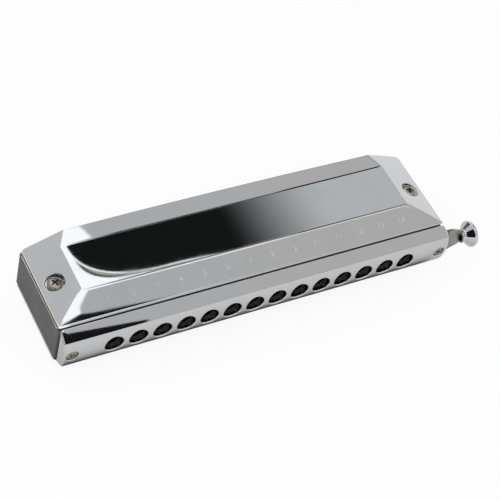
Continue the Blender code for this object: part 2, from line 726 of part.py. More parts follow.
def make_mouthpiece():
    """Mouthpiece bar with the round holes, hollowed at the back for the slide."""
    bm = bmesh.new()
    length = MOUTHPIECE_RIGHT - MOUTHPIECE_LEFT
    add_prism(bm, [(MOUTHPIECE_LEFT, y, z) for y, z in mouthpiece_profile()], (length, 0, 0))
    mouthpiece = add_piece("mouthpiece", closed_mesh("mouthpiece", bm), "chrome")

    plan = bmesh.new()
    ends = (MOUTHPIECE_LEFT, MOUTHPIECE_RIGHT)
    outline = plan_outline(*ends, MOUTHPIECE_NOSE - GAP, PAST, MOUTHPIECE_CORNER, GAP)
    add_plan(plan, outline, -COMB_HEIGHT, COMB_HEIGHT)
    use_tool(mouthpiece, "INTERSECT", plan)

    cuts = bmesh.new()
    low = (POCKET_LEFT, POCKET_FLOOR, -POCKET_HALF)
    add_box(cuts, low, (MOUTHPIECE_RIGHT + PAST, PAST, POCKET_HALF))
    use_tool(mouthpiece, "DIFFERENCE", cuts)

    bores = bmesh.new()
    hole = [
        (MOUTHPIECE_NOSE - PAST, HOLE_RADIUS + HOLE_FLARE),
        (MOUTHPIECE_NOSE, HOLE_RADIUS + HOLE_FLARE),
        (MOUTHPIECE_NOSE + HOLE_FLARE_DEPTH, HOLE_RADIUS),
        (0, HOLE_RADIUS),
    ]
    for index in range(HOLE_COUNT):
        add_stepped_rod(bores, (hole_x(index), 0, 0), (0, 1, 0), hole, HOLE_SIDES)
    shank = MOUTHPIECE_SCREW_RADIUS + GAP
    head = MOUTHPIECE_SCREW_HEAD + GAP
    seat = [
        (MOUTHPIECE_NOSE - PAST, head),
        (MOUTHPIECE_SCREW_SEAT, head),
        (MOUTHPIECE_SCREW_SEAT + head - shank, shank),
        (0, shank),
    ]
    for x in mouthpiece_screw_places().values():
        add_stepped_rod(bores, (x, 0, 0), (0, 1, 0), seat)
    use_tool(mouthpiece, "DIFFERENCE", bores)


def make_mouthpiece_screws():
    """Countersunk screws from the mouthpiece into the comb."""
    depth = MOUTHPIECE_SCREW_HEAD - MOUTHPIECE_SCREW_RADIUS
    length = MOUTHPIECE_SCREW_END - MOUTHPIECE_SCREW_SEAT
    profile = [
        (0, MOUTHPIECE_SCREW_DOME),
        (MOUTHPIECE_SCREW_SHOULDER, MOUTHPIECE_SCREW_SHOULDER_RISE),
        (MOUTHPIECE_SCREW_HEAD, 0),
        (MOUTHPIECE_SCREW_RADIUS, -depth),
        (MOUTHPIECE_SCREW_RADIUS, -length),
        (0, -length),
    ]
    mesh = None
    for side, x in mouthpiece_screw_places().items():
        name = f"mouthpiece_screw_{side}"
        piece = add_piece(name, mesh or turned_mesh(name, profile, SCREW_SIDES), "nickel")
        piece.location = (x, MOUTHPIECE_SCREW_SEAT, 0)
        piece.rotation_euler = (math.pi / 2, 0, 0)
        if mesh is None:
            recess = (MOUTHPIECE_RECESS_DEPTH, MOUTHPIECE_RECESS_REACH, MOUTHPIECE_RECESS_WIDTH)
            add_cross_recess(piece, MOUTHPIECE_SCREW_DOME, *recess)
            apply_tools(piece)
            mesh = piece.data


def add_windows(bm, front, back, lower_shift):
    """Add cutters for an upper and a lower row of air windows."""
    for index in range(HOLE_COUNT):
        for shift, low, high in ((0, WINDOW_LOW, WINDOW_HIGH), (lower_shift, -WINDOW_HIGH, -WINDOW_LOW)):
            middle = hole_x(index) + shift
            left = middle - WINDOW_WIDTH / 2
            right = middle + WINDOW_WIDTH / 2
            add_box(bm, (left, front - PAST, low), (right, back + PAST, high))


def make_back_plate():
    """Plate between the slide and the comb, with a slot for the spring's leg."""
    bm = bmesh.new()
    low = (-BACK_PLATE_END, BACK_PLATE_FRONT, -BACK_PLATE_HALF)
    add_box(bm, low, (BACK_PLATE_END, BACK_PLATE_BACK, BACK_PLATE_HALF))
    plate = add_piece("slide_back_plate", closed_mesh("slide_back_plate", bm), "brass")
    cuts = bmesh.new()
    add_windows(cuts, BACK_PLATE_FRONT, BACK_PLATE_BACK, 0)
    leg_x = SPRING_POST_X + SPRING_RADIUS
    leg_z = SPRING_TURNS * SPRING_PITCH / 2
    slack = 2 * SPRING_HOLE
    corner = (leg_x - SLIDE_TRAVEL - slack, BACK_PLATE_FRONT - PAST, leg_z - slack)
    add_box(cuts, corner, (leg_x + slack, BACK_PLATE_BACK + PAST, leg_z + slack))
    use_tool(plate, "DIFFERENCE", cuts)


def make_guide():
    """Channel in front of the slide, with a rail above and below it."""
    bm = bmesh.new()
    section = [
        (GUIDE_FRONT, -GUIDE_HALF),
        (RAIL_BACK, -GUIDE_HALF),
        (RAIL_BACK, -RAIL_LOW),
        (GUIDE_BACK, -RAIL_LOW),
        (GUIDE_BACK, RAIL_LOW),
        (RAIL_BACK, RAIL_LOW),
        (RAIL_BACK, GUIDE_HALF),
        (GUIDE_FRONT, GUIDE_HALF),
    ]
    add_prism(bm, [(GUIDE_LEFT, y, z) for y, z in section], (GUIDE_RIGHT - GUIDE_LEFT, 0, 0))
    guide = add_piece("slide_guide", closed_mesh("slide_guide", bm), "brass")
    cuts = bmesh.new()
    front = GUIDE_FRONT - PAST
    for index in range(HOLE_COUNT):
        x = hole_x(index)
        add_rod(cuts, (x, front, 0), (x, 0, 0), HOLE_RADIUS + GAP, HOLE_SIDES)
    for x in mouthpiece_screw_places().values():
        add_rod(cuts, (x, front, 0), (x, 0, 0), MOUTHPIECE_SCREW_RADIUS + GAP)
    use_tool(guide, "DIFFERENCE", cuts)


def slide_outline(stop_left):
    """Outline of the slide as (x, z), with a fork at its left end and a neck at its right end."""
    fork = BUMPER_RADIUS + 2 * GAP
    upper = [
        (TONGUE_END, TONGUE_HALF),
        (NECK_END, TONGUE_HALF),
        (NECK_END, NECK_END_HALF),
        (NECK_START, SLIDE_HALF),
        (SLIDE_LEFT, SLIDE_HALF),
        (SLIDE_LEFT, fork),
        (stop_left, fork),
    ]
    lower = [(x, -z) for x, z in reversed(upper)]
    return upper + lower


def make_slide(carriage):
    """Slide whose two window rows open the upper and the lower chambers in turn."""
    stops = mouthpiece_screw_places()
    stop_left = stops["left"] + BUMPER_RADIUS + GAP + SLIDE_TRAVEL
    bm = bmesh.new()
    front = SLIDE_FRONT - SLIDE_MIDDLE
    back = SLIDE_BACK - SLIDE_MIDDLE
    add_prism(bm, [(x, front, z) for x, z in slide_outline(stop_left)], (0, back - front, 0))
    slide = add_piece("slide", closed_mesh("slide", bm), "steel", carriage)
    cuts = bmesh.new()
    add_windows(cuts, front, back, HOLE_PITCH / 2)
    half = BUMPER_RADIUS + 2 * GAP
    start = stops["right"] - BUMPER_RADIUS - GAP
    end = stops["right"] + BUMPER_RADIUS + GAP + SLIDE_TRAVEL
    add_box(cuts, (start, front - PAST, -half), (end, back + PAST, half))
    leg_x = SPRING_POST_X + SPRING_RADIUS
    leg_z = SPRING_TURNS * SPRING_PITCH / 2
    add_rod(cuts, (leg_x, front - PAST, leg_z), (leg_x, back + PAST, leg_z), SPRING_HOLE)
    use_tool(slide, "DIFFERENCE", cuts)


def make_button(carriage):
    """Turned button that flares from a collar on the slide's tongue to a wide rim."""
    waist_end = COLLAR_LENGTH + WAIST_LENGTH
    rim_end = FLARE_END + RIM_LENGTH
    profile = [
        (0, BUTTON_LENGTH),
        (CROWN_RADIUS, BUTTON_LENGTH - CROWN_RISE),
        (BUTTON_RADIUS - BUTTON_EDGE, rim_end + BUTTON_EDGE_RISE),
        (BUTTON_RADIUS, rim_end),
        (BUTTON_RADIUS, FLARE_END),
        (WAIST_RADIUS, waist_end),
        (WAIST_RADIUS, COLLAR_LENGTH),
        (COLLAR_RADIUS, COLLAR_LENGTH - COLLAR_CHAMFER),
        (COLLAR_RADIUS, 0),
        (0, 0),
    ]
    mesh = turned_mesh("slide_button", profile, BUTTON_SIDES)
    button = add_piece("slide_button", mesh, "chrome", carriage)
    button.location = (BUTTON_START, 0, 0)
    button.rotation_euler = (0, math.pi / 2, 0)
    slot = bmesh.new()
    half_thickness = (SLIDE_BACK - SLIDE_FRONT) / 2 + GAP
    high = TONGUE_HALF + GAP
    depth = TONGUE_END - NECK_END + GAP
    add_box(slot, (-high, -half_thickness, -PAST), (high, half_thickness, depth))
    use_tool(button, "DIFFERENCE", slot)
    apply_tools(button)


def make_bumpers():
    """Silicone rings on the mouthpiece screws, which stop the slide softly."""
    front = GUIDE_BACK + GAP
    back = -GAP
    half = (back - front) / 2
    profile = [
        (BUMPER_BORE, half),
        (BUMPER_RADIUS, half),
        (BUMPER_RADIUS, -half),
        (BUMPER_BORE, -half),
        (BUMPER_BORE, half),
    ]
    for side, x in mouthpiece_screw_places().items():
        name = f"slide_bumper_{side}"
        bumper = add_piece(name, turned_mesh(name, profile, BUMPER_SIDES), "silicone")
        bumper.location = (x, (front + back) / 2, 0)
        bumper.rotation_euler = (math.pi / 2, 0, 0)


def spring_path():
    """Points of the spring's wire, from the leg on the comb's wall to the leg in the slide."""
    centre = Vector((SPRING_POST_X, SPRING_POST_Y, 0))
    height = SPRING_TURNS * SPRING_PITCH
    count = round(SPRING_TURNS * SPRING_STEPS)
    coil = []
    for step in range(count + 1):
        share = step / count
        angle = 2 * math.pi * SPRING_TURNS * (1 - share)
        spoke = Vector((math.cos(angle), math.sin(angle), 0)) * SPRING_RADIUS
        coil.append(centre + spoke + Vector((0, 0, height * (share - 0.5))))
    fixed_end = coil[0] - Vector((SPRING_FIXED_LEG, 0, 0))
    moving_end = Vector((coil[-1].x, SPRING_LEG_TIP, coil[-1].z))
    return [fixed_end] + coil + [moving_end]


def least_coil_gap(points):
    """Clear space between neighbouring turns of the wire."""
    coil = points[1:-1]
    near = [
        (later - point).length
        for index, point in enumerate(coil)
        for later in coil[index + SPRING_STEPS // 2:]
    ]
    return min(near) - 2 * SPRING_WIRE


def make_spring():
    """Torsion spring that pushes the slide out, on a pin in the comb."""
    points = spring_path()
    print(f"least gap between spring turns: {least_coil_gap(points) / MM:.2f} mm")
    curve = bpy.data.curves.new("return_spring", "CURVE")
    curve.dimensions = "3D"
    curve.bevel_depth = SPRING_WIRE
    curve.bevel_resolution = 1
    curve.use_fill_caps = True
    spline = curve.splines.new("POLY")
    spline.points.add(len(points) - 1)
    for target, point in zip(spline.points, points):
        target.co = (*point, 1.0)
    add_piece("return_spring", curve, "steel")

    bm = bmesh.new()
    place = (SPRING_POST_X, SPRING_POST_Y)
    add_rod(bm, (*place, -SPRING_POST_HALF), (*place, SPRING_POST_HALF), SPRING_POST_RADIUS)
    add_piece("spring_pin", closed_mesh("spring_pin", bm), "steel")


make_comb()
make_reed_plates()
make_plate_screws()
make_covers()
make_cover_fasteners()
make_mouthpiece()
make_mouthpiece_screws()
make_back_plate()
make_guide()
SLIDE_CARRIAGE = new_empty("slide_carriage", (0, SLIDE_MIDDLE, 0), HARMONICA)
make_slide(SLIDE_CARRIAGE)
make_button(SLIDE_CARRIAGE)
make_bumpers()
make_spring()
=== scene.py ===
import math

import bmesh
import bpy
from mathutils import Matrix, Vector


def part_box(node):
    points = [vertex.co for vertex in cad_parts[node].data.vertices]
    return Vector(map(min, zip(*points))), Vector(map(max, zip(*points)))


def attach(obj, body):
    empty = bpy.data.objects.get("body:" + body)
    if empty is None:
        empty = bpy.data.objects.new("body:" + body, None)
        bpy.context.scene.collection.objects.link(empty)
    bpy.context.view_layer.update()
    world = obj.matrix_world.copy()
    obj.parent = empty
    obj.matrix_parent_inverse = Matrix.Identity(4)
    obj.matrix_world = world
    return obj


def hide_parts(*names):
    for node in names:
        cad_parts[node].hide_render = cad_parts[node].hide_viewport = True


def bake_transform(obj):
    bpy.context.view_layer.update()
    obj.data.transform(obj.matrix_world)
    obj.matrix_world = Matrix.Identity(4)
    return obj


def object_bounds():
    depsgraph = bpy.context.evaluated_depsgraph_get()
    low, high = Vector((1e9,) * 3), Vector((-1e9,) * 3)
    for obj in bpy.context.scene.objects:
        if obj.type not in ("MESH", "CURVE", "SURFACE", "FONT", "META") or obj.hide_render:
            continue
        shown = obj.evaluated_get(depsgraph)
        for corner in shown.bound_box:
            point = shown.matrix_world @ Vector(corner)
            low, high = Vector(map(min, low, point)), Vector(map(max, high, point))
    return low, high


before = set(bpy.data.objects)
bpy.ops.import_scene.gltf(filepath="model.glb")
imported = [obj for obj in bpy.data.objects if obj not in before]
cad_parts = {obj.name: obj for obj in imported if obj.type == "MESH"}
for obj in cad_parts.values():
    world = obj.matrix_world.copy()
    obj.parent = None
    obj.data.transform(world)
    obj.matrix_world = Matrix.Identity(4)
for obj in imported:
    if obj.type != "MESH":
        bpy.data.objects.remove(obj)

scene = bpy.context.scene
cadBox = [list(corner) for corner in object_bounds()]
print("frame loaded,", len(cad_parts), "nodes")

mm = 0.001  # pieces are drawn in millimetres about the middle of the hole row, at the comb's front
row = {"holes": 14, "pitch": 9.2, "fromCombMiddle": 0.95}

combLow, combHigh = (Vector(corner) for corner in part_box("comb"))
bodyOrigin = Vector((
    (combLow.x + combHigh.x) / 2 + row["fromCombMiddle"] * mm,
    combLow.y,
    (combLow.z + combHigh.z) / 2,
))
toFrame = Matrix.Translation(bodyOrigin) @ Matrix.Scale(mm, 4)
toDrawing = toFrame.inverted()
holeXs = [(number - (row["holes"] - 1) / 2) * row["pitch"] for number in range(row["holes"])]


def boxOf(node):
    return [toDrawing @ Vector(corner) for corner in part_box(node)]


# shader maths: a Wire is one socket of a shader, or the shader itself when it has no socket yet
class Wire:
    def __init__(self, tree, socket=None):
        self.tree = tree
        self.socket = socket

    def node(self, kind, settings=None, sockets=None, output=0):
        made = self.tree.nodes.new(kind)
        for name, value in (settings or {}).items():
            setattr(made, name, value)
        for name, value in (sockets or {}).items():
            if isinstance(value, Wire):
                self.tree.links.new(value.socket, made.inputs[name])
            else:
                made.inputs[name].default_value = value
        return Wire(self.tree, made.outputs[output] if made.outputs else None)

    def sums(self, operation, first, second):
        return self.node("ShaderNodeMath", {"operation": operation}, {0: first, 1: second})

    def __add__(self, other):
        return self.sums("ADD", self, other)

    def __sub__(self, other):
        return self.sums("SUBTRACT", self, other)

    def __rsub__(self, other):
        return self.sums("SUBTRACT", other, self)

    def __mul__(self, other):
        return self.sums("MULTIPLY", self, other)

    def __truediv__(self, other):
        return self.sums("DIVIDE", self, other)

    def __pow__(self, other):
        return self.sums("POWER", self, other)

    def __abs__(self):
        return self.sums("ABSOLUTE", self, 0.0)

    __radd__ = __add__
    __rmul__ = __mul__

    def rise(self, start, end):  # 0 up to start, 1 from end on
        return self.node("ShaderNodeMapRange", {"interpolation_type": "SMOOTHSTEP"},
                         {"Value": self, "From Min": start, "From Max": end})

    def within(self, low, high, soft):  # 1 from low to high, with soft ends
        return self.rise(low - soft, low + soft) * self.rise(high + soft, high - soft)

    def atLeast(self, floor):
        return self.sums("MAXIMUM", self, floor)

    def atMost(self, ceiling):
        return self.sums("MINIMUM", self, ceiling)


def rgb(red, green, blue):
    return (red, green, blue, 1.0)


def startMaterial(name):
    material = bpy.data.materials.new(name)
    material.use_nodes = True
    material.node_tree.nodes.clear()
    return material, Wire(material.node_tree)


def finishMaterial(paint, sockets):
    surface = paint.node("ShaderNodeBsdfPrincipled", {}, sockets)
    paint.node("ShaderNodeOutputMaterial", {}, {"Surface": surface})


even = (1.0, 1.0, 1.0)
bumpDepth = 0.0001  # metres


def noise(paint, stretch, scale, detail):  # drawn out along the row where stretch is small
    place = paint.node("ShaderNodeTexCoord", {}, {}, "Object")
    drawn = paint.node("ShaderNodeMapping", {}, {"Vector": place, "Scale": stretch})
    return paint.node("ShaderNodeTexNoise", {}, {"Vector": drawn, "Scale": scale, "Detail": detail})


def bumped(paint, strength, height):
    return paint.node("ShaderNodeBump", {}, {"Strength": strength, "Distance": bumpDepth, "Height": height})


def mixed(paint, first, second, share):
    return paint.node("ShaderNodeMix", {"data_type": "RGBA"}, {0: share, 6: first, 7: second}, 2)


def drawnAt(paint, axis):  # a coordinate of the surface in drawing millimetres
    place = paint.node("ShaderNodeTexCoord", {}, {}, "Object")
    spot = paint.node("ShaderNodeSeparateXYZ", {}, {"Vector": place}, axis)
    return (spot - getattr(bodyOrigin, axis.lower())) / mm


def makeChrome(name, look):
    material, paint = startMaterial(name)
    film = noise(paint, even, look["smudgeScale"], 4.0).rise(0.45, 0.75)
    hairlines = noise(paint, (0.06, 1.0, 1.0), look["hairScale"], 2.0).rise(0.62, 0.78)
    finishMaterial(paint, {
        "Base Color": mixed(paint, look["clear"], look["filmed"], film),
        "Metallic": 1.0,
        "Roughness": look["polish"] + film * look["film"] + hairlines * look["hair"],
    })
    return material


def makeBrass(name, look):
    material, paint = startMaterial(name)
    rolled = noise(paint, (0.03, 1.0, 1.0), look["rollScale"], 4.0)
    tarnish = noise(paint, even, look["patchScale"], 5.0).rise(0.42, 0.72)
    atEnds = abs(drawnAt(paint, "X") + row["fromCombMiddle"]).rise(*look["endShadeAlong"])
    atFace = abs(drawnAt(paint, "Z")).rise(*look["endShadeUp"])  # the outer edge of each end is darkened with painted shade, as under the cover's lip
    metal = mixed(paint, look["bright"], look["dull"], tarnish * 0.7 + rolled * 0.3)
    finishMaterial(paint, {
        "Base Color": mixed(paint, metal, look["endShade"], atEnds * atFace),
        "Metallic": 1.0,
        "Roughness": look["polish"] + tarnish * 0.14 + rolled * 0.08,
        "Normal": bumped(paint, look["bump"], rolled),
    })
    return material


def makeSteel(name, look):
    material, paint = startMaterial(name)
    drawn = noise(paint, look["along"], look["drawScale"], 3.0)
    patches = noise(paint, even, look["patchScale"], 4.0).rise(0.35, 0.7)
    colour = mixed(paint, look["bright"], look["dull"], patches)
    if "insideShade" in look:  # painted shade: darker inside the mouthpiece, where little light gets in
        colour = mixed(paint, colour, look["insideShade"], drawnAt(paint, "X").rise(*look["insideShadeAlong"]))
    finishMaterial(paint, {
        "Base Color": colour,
        "Metallic": 1.0,
        "Roughness": look["polish"] + drawn * look["grain"],
        "Normal": bumped(paint, look["bump"], drawn),
    })
    return material


def makePlastic(name, look):
    material, paint = startMaterial(name)
    grain = noise(paint, even, look["grainScale"], 3.0)
    cloud = noise(paint, even, look["cloudScale"], 3.0).rise(0.3, 0.7)
    finishMaterial(paint, {
        "Base Color": mixed(paint, look["deep"], look["pale"], cloud * 0.8 + grain * 0.2),
        "Roughness": look["polish"] + grain * 0.15,
        "Normal": bumped(paint, look["bump"], grain),
        "IOR": 1.5,
    })
    return material


chrome = makeChrome("chromePlate", {
    "clear": rgb(0.597, 0.603, 0.614), "filmed": rgb(0.572, 0.577, 0.583),
    "polish": 0.016, "film": 0.012, "hair": 0.012, "smudgeScale": 70.0, "hairScale": 900.0,
})
etched = makeChrome("etchedChrome", {
    "clear": rgb(0.61, 0.615, 0.625), "filmed": rgb(0.57, 0.573, 0.58),
    "polish": 0.10, "film": 0.05, "hair": 0.02, "smudgeScale": 500.0, "hairScale": 2500.0,
})
# the dark colour at the brass plates' ends is painted shade, where the cover's lip hangs over them
brass = makeBrass("rolledBrass", {
    "bright": rgb(0.93, 0.87, 0.74), "dull": rgb(0.77, 0.66, 0.48), "endShade": rgb(0.16, 0.125, 0.09),
    "endShadeAlong": (77.3, 77.6), "endShadeUp": (8.55, 8.65),
    "polish": 0.24, "rollScale": 1800.0, "patchScale": 140.0, "bump": 0.25,
})
nickel = makeSteel("warmNickel", {
    "bright": rgb(0.36, 0.335, 0.28), "dull": rgb(0.25, 0.225, 0.18),
    "along": even, "drawScale": 1500.0, "patchScale": 600.0, "polish": 0.16, "grain": 0.12, "bump": 0.15,
})
# the slide's inside colour is painted shade deep in the mouthpiece
slideSteel = makeSteel("drawnSteel", {
    "bright": rgb(0.32, 0.315, 0.28), "dull": rgb(0.26, 0.25, 0.22), "insideShade": rgb(0.045, 0.042, 0.034),
    "insideShadeAlong": (82.0, 78.5), "along": (0.04, 1.0, 1.0), "drawScale": 2500.0, "patchScale": 200.0,
    "polish": 0.26, "grain": 0.14, "bump": 0.3,
})
springSteel = makeSteel("springWire", {
    "bright": rgb(0.62, 0.62, 0.61), "dull": rgb(0.46, 0.46, 0.46),
    "along": even, "drawScale": 3000.0, "patchScale": 500.0, "polish": 0.22, "grain": 0.1, "bump": 0.2,
})
darkPlate = makeSteel("blackenedPlate", {
    "bright": rgb(0.075, 0.066, 0.05), "dull": rgb(0.04, 0.036, 0.03),
    "along": (0.04, 1.0, 1.0), "drawScale": 2500.0, "patchScale": 200.0,
    "polish": 0.34, "grain": 0.16, "bump": 0.3,
})
combPlastic = makePlastic("combPlastic", {
    "deep": rgb(0.050, 0.050, 0.053), "pale": rgb(0.075, 0.075, 0.078),
    "polish": 0.42, "grainScale": 2600.0, "cloudScale": 90.0, "bump": 0.35,
})
silicone = makePlastic("siliconeRing", {
    "deep": rgb(0.62, 0.60, 0.55), "pale": rgb(0.74, 0.72, 0.68),
    "polish": 0.5, "grainScale": 2000.0, "cloudScale": 400.0, "bump": 0.2,
})
print("materials made")


# making pieces
mergeReach = 0.0005
slack = 0.01  # places this near are taken to be one


def inOrder(bm):  # operators may number new parts differently from run to run
    weights = Vector((1.0, 37.3, 1409.7))  # a fixed mix of the three axes
    bm.verts.sort(key=lambda vert: vert.co.dot(weights))
    bm.edges.sort(key=lambda edge: (edge.verts[0].co + edge.verts[1].co).dot(weights))
    bm.faces.sort(key=lambda face: face.calc_center_median().dot(weights))


def mergeUp(bm):
    bmesh.ops.remove_doubles(bm, verts=bm.verts, dist=mergeReach)
    inOrder(bm)
    bmesh.ops.recalc_face_normals(bm, faces=bm.faces)


def meshObject(name, bm):
    bmesh.ops.transform(bm, matrix=toFrame, verts=bm.verts)
    mesh = bpy.data.meshes.new(name)
    bm.to_mesh(mesh)
    bm.free()
    piece = bpy.data.objects.new(name, mesh)
    scene.collection.objects.link(piece)
    return piece


def dress(piece, material, body="instrument", stands=(), sharpAt=40.0, flatten=True):
    piece.data.materials.append(material)
    piece.data.shade_smooth()
    piece.data.set_sharp_from_angle(angle=math.radians(sharpAt))
    if flatten:  # wide flat faces keep their own normals
        weighted = piece.modifiers.new("flatFaces", "WEIGHTED_NORMAL")
        weighted.keep_sharp = True
    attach(piece, body)
    if stands:
        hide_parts(*stands)


def thicken(piece, name, depth, evenly):
    wall = piece.modifiers.new(name, "SOLIDIFY")
    wall.thickness = depth * mm
    wall.offset = -1.0
    wall.use_even_offset = evenly


def softEdges(piece, name, width, angle):  # rounds the edges that turn by more than the angle
    soft = piece.modifiers.new(name, "BEVEL")
    soft.width = width * mm
    soft.segments = 3
    soft.limit_method = "ANGLE"
    soft.angle_limit = math.radians(angle)


def rowsOf(made, kind):
    return [item for item in made["geom"] if isinstance(item, kind)]


def pullEdges(bm, edges):  # extrudes edges and gives the new verts and edges
    made = bmesh.ops.extrude_edge_only(bm, edges=edges)
    newVerts = rowsOf(made, bmesh.types.BMVert)
    fresh = set(newVerts)
    newEdges = [edge for edge in rowsOf(made, bmesh.types.BMEdge) if fresh.issuperset(edge.verts)]
    return newVerts, newEdges


def openEdges(bm, test):
    return [edge for edge in bm.edges if edge.is_boundary and all(test(vert.co) for vert in edge.verts)]


def near(first, second, reach=slack):
    return abs(first - second) < reach


def turned(profile, steps, place):  # from (radius, height) points, about z before it is placed
    bm = bmesh.new()
    verts = [bm.verts.new((radius, 0.0, height)) for radius, height in profile]
    edges = [bm.edges.new(pair) for pair in zip(verts, verts[1:])]
    bmesh.ops.spin(bm, geom=verts + edges, cent=(0, 0, 0), axis=(0, 0, 1), angle=math.tau, steps=steps,
                   use_merge=True)
    mergeUp(bm)
    bmesh.ops.transform(bm, matrix=place, verts=bm.verts)
    return bm


def cutAway(bm, cutters):  # what is left of bm after the cutters are taken out
    target = meshObject("target", bm)
    helpers = [meshObject("cutter", cutter) for cutter in cutters]
    for helper in helpers:
        cut = target.modifiers.new("cut", "BOOLEAN")
        cut.operation = "DIFFERENCE"
        cut.solver = "EXACT"
        cut.object = helper
    held = target.evaluated_get(bpy.context.evaluated_depsgraph_get())
    result = bmesh.new()
    result.from_mesh(held.to_mesh())
    held.to_mesh_clear()
    bmesh.ops.transform(result, matrix=toDrawing, verts=result.verts)
    for spare in [target, *helpers]:
        mesh = spare.data
        bpy.data.objects.remove(spare)
        bpy.data.meshes.remove(mesh)
    return result


def boxBetween(low, high):
    bm = bmesh.new()
    size = [top - bottom for bottom, top in zip(low, high)]
    middle = [(top + bottom) / 2 for bottom, top in zip(low, high)]
    bmesh.ops.create_cube(bm, size=1.0, matrix=Matrix.Translation(middle) @ Matrix.Diagonal((*size, 1.0)))
    return bm


def prism(outline, low, high):  # an outline seen from above, made solid
    bm = bmesh.new()
    face = bm.faces.new([bm.verts.new((x, y, low)) for x, y in outline])
    top = rowsOf(bmesh.ops.extrude_face_region(bm, geom=[face]), bmesh.types.BMVert)
    bmesh.ops.translate(bm, vec=(0, 0, high - low), verts=top)
    bmesh.ops.holes_fill(bm, edges=[edge for edge in bm.edges if edge.is_boundary])
    bmesh.ops.recalc_face_normals(bm, faces=bm.faces)
    return bm


# covers
coverShape = {
    "lipTop": 9.2, "frontLip": 0.7, "endLip": 0.1, "endPast": 0.4, "wideFace": 25.0, "flatBorder": 0.12,
    "panelTop": 13.9, "panelHalf": 66.0, "frontCrease": 9.8, "backCrease": 29.9,
    "rearBow": 0.7, "rearParts": 48, "hem": 1.1, "sheet": 0.3, "edgeRound": 0.12,
    "hipRound": 1.5, "hipSteps": 10, "bend": 0.36, "bendSteps": 5, "leastFold": 0.1,
    "frontCorner": 0.8, "rearCorner": 1.4, "cornerSteps": 6,
    "screwFromMiddle": 72.9, "screwY": 17.9, "seat": 9.5,
    "dimple": 3.42, "dimpleRim": 0.35, "dimpleSteps": 64, "rimAngles": (18, 36, 54, 72, 84),
    "wallIn": 0.05, "wallLift": 0.2, "wallFoot": 0.3, "screwHole": 1.4,
}


def trimCorner(bm, corner, inward, radius, steps):  # rounds one corner of the plan
    heart = Vector((corner[0] + inward[0] * radius, corner[1] + inward[1] * radius, 0.0))
    for step in range(steps):
        angle = math.radians(90.0 * (step + 0.5) / steps)
        outward = Vector((-inward[0] * math.cos(angle), -inward[1] * math.sin(angle), 0.0))
        bmesh.ops.bisect_plane(bm, geom=[*bm.verts, *bm.edges, *bm.faces], dist=0.0001,
                               plane_co=heart + outward * radius, plane_no=outward, clear_outer=True)


def pressDimple(bm, shape, side, middle, facetHeight):
    leaning = [face for face in bm.faces if face.normal.x * side > 0.25]
    facet = max(leaning, key=lambda face: face.calc_area())
    rim = list(facet.edges)
    bmesh.ops.delete(bm, geom=[facet], context="FACES_ONLY")
    centre = Vector((middle + side * shape["screwFromMiddle"], shape["screwY"], 0.0))
    radius = shape["dimple"] + shape["dimpleRim"]
    ring = bmesh.ops.create_circle(bm, cap_ends=False, segments=shape["dimpleSteps"], radius=radius,
                                   matrix=Matrix.Translation(centre))["verts"]
    for vert in ring:
        vert.co.z = facetHeight(vert.co.x)
    edges = list(dict.fromkeys(edge for vert in ring for edge in vert.link_edges))
    bmesh.ops.triangle_fill(bm, use_beauty=True, edges=rim + edges)
    steps = [math.radians(angle) for angle in shape["rimAngles"]]
    profile = [(shape["dimple"] + shape["dimpleRim"] * (1 - math.sin(angle)),
                shape["dimpleRim"] * (1 - math.cos(angle)), 0.0) for angle in steps]
    deep = 99.0  # past the seat, which stops it
    profile += [
        (shape["dimple"] - shape["wallIn"], deep, shape["wallLift"]),  # the wall runs out into the seat
        (shape["dimple"] - shape["wallFoot"], deep, 0.0),
        (shape["screwHole"], deep, 0.0),
    ]
    for radius, drop, lift in profile:
        verts, edges = pullEdges(bm, edges)
        for vert in verts:
            ray = Vector((vert.co.x - centre.x, vert.co.y - centre.y, 0.0)).normalized() * radius
            vert.co.x, vert.co.y = centre.x + ray.x, centre.y + ray.y
            vert.co.z = max(facetHeight(vert.co.x) - drop, shape["seat"] + lift)


def faceUp(bm):
    if sum(face.normal.z * face.calc_area() for face in bm.faces) < 0:
        bmesh.ops.reverse_faces(bm, faces=bm.faces)


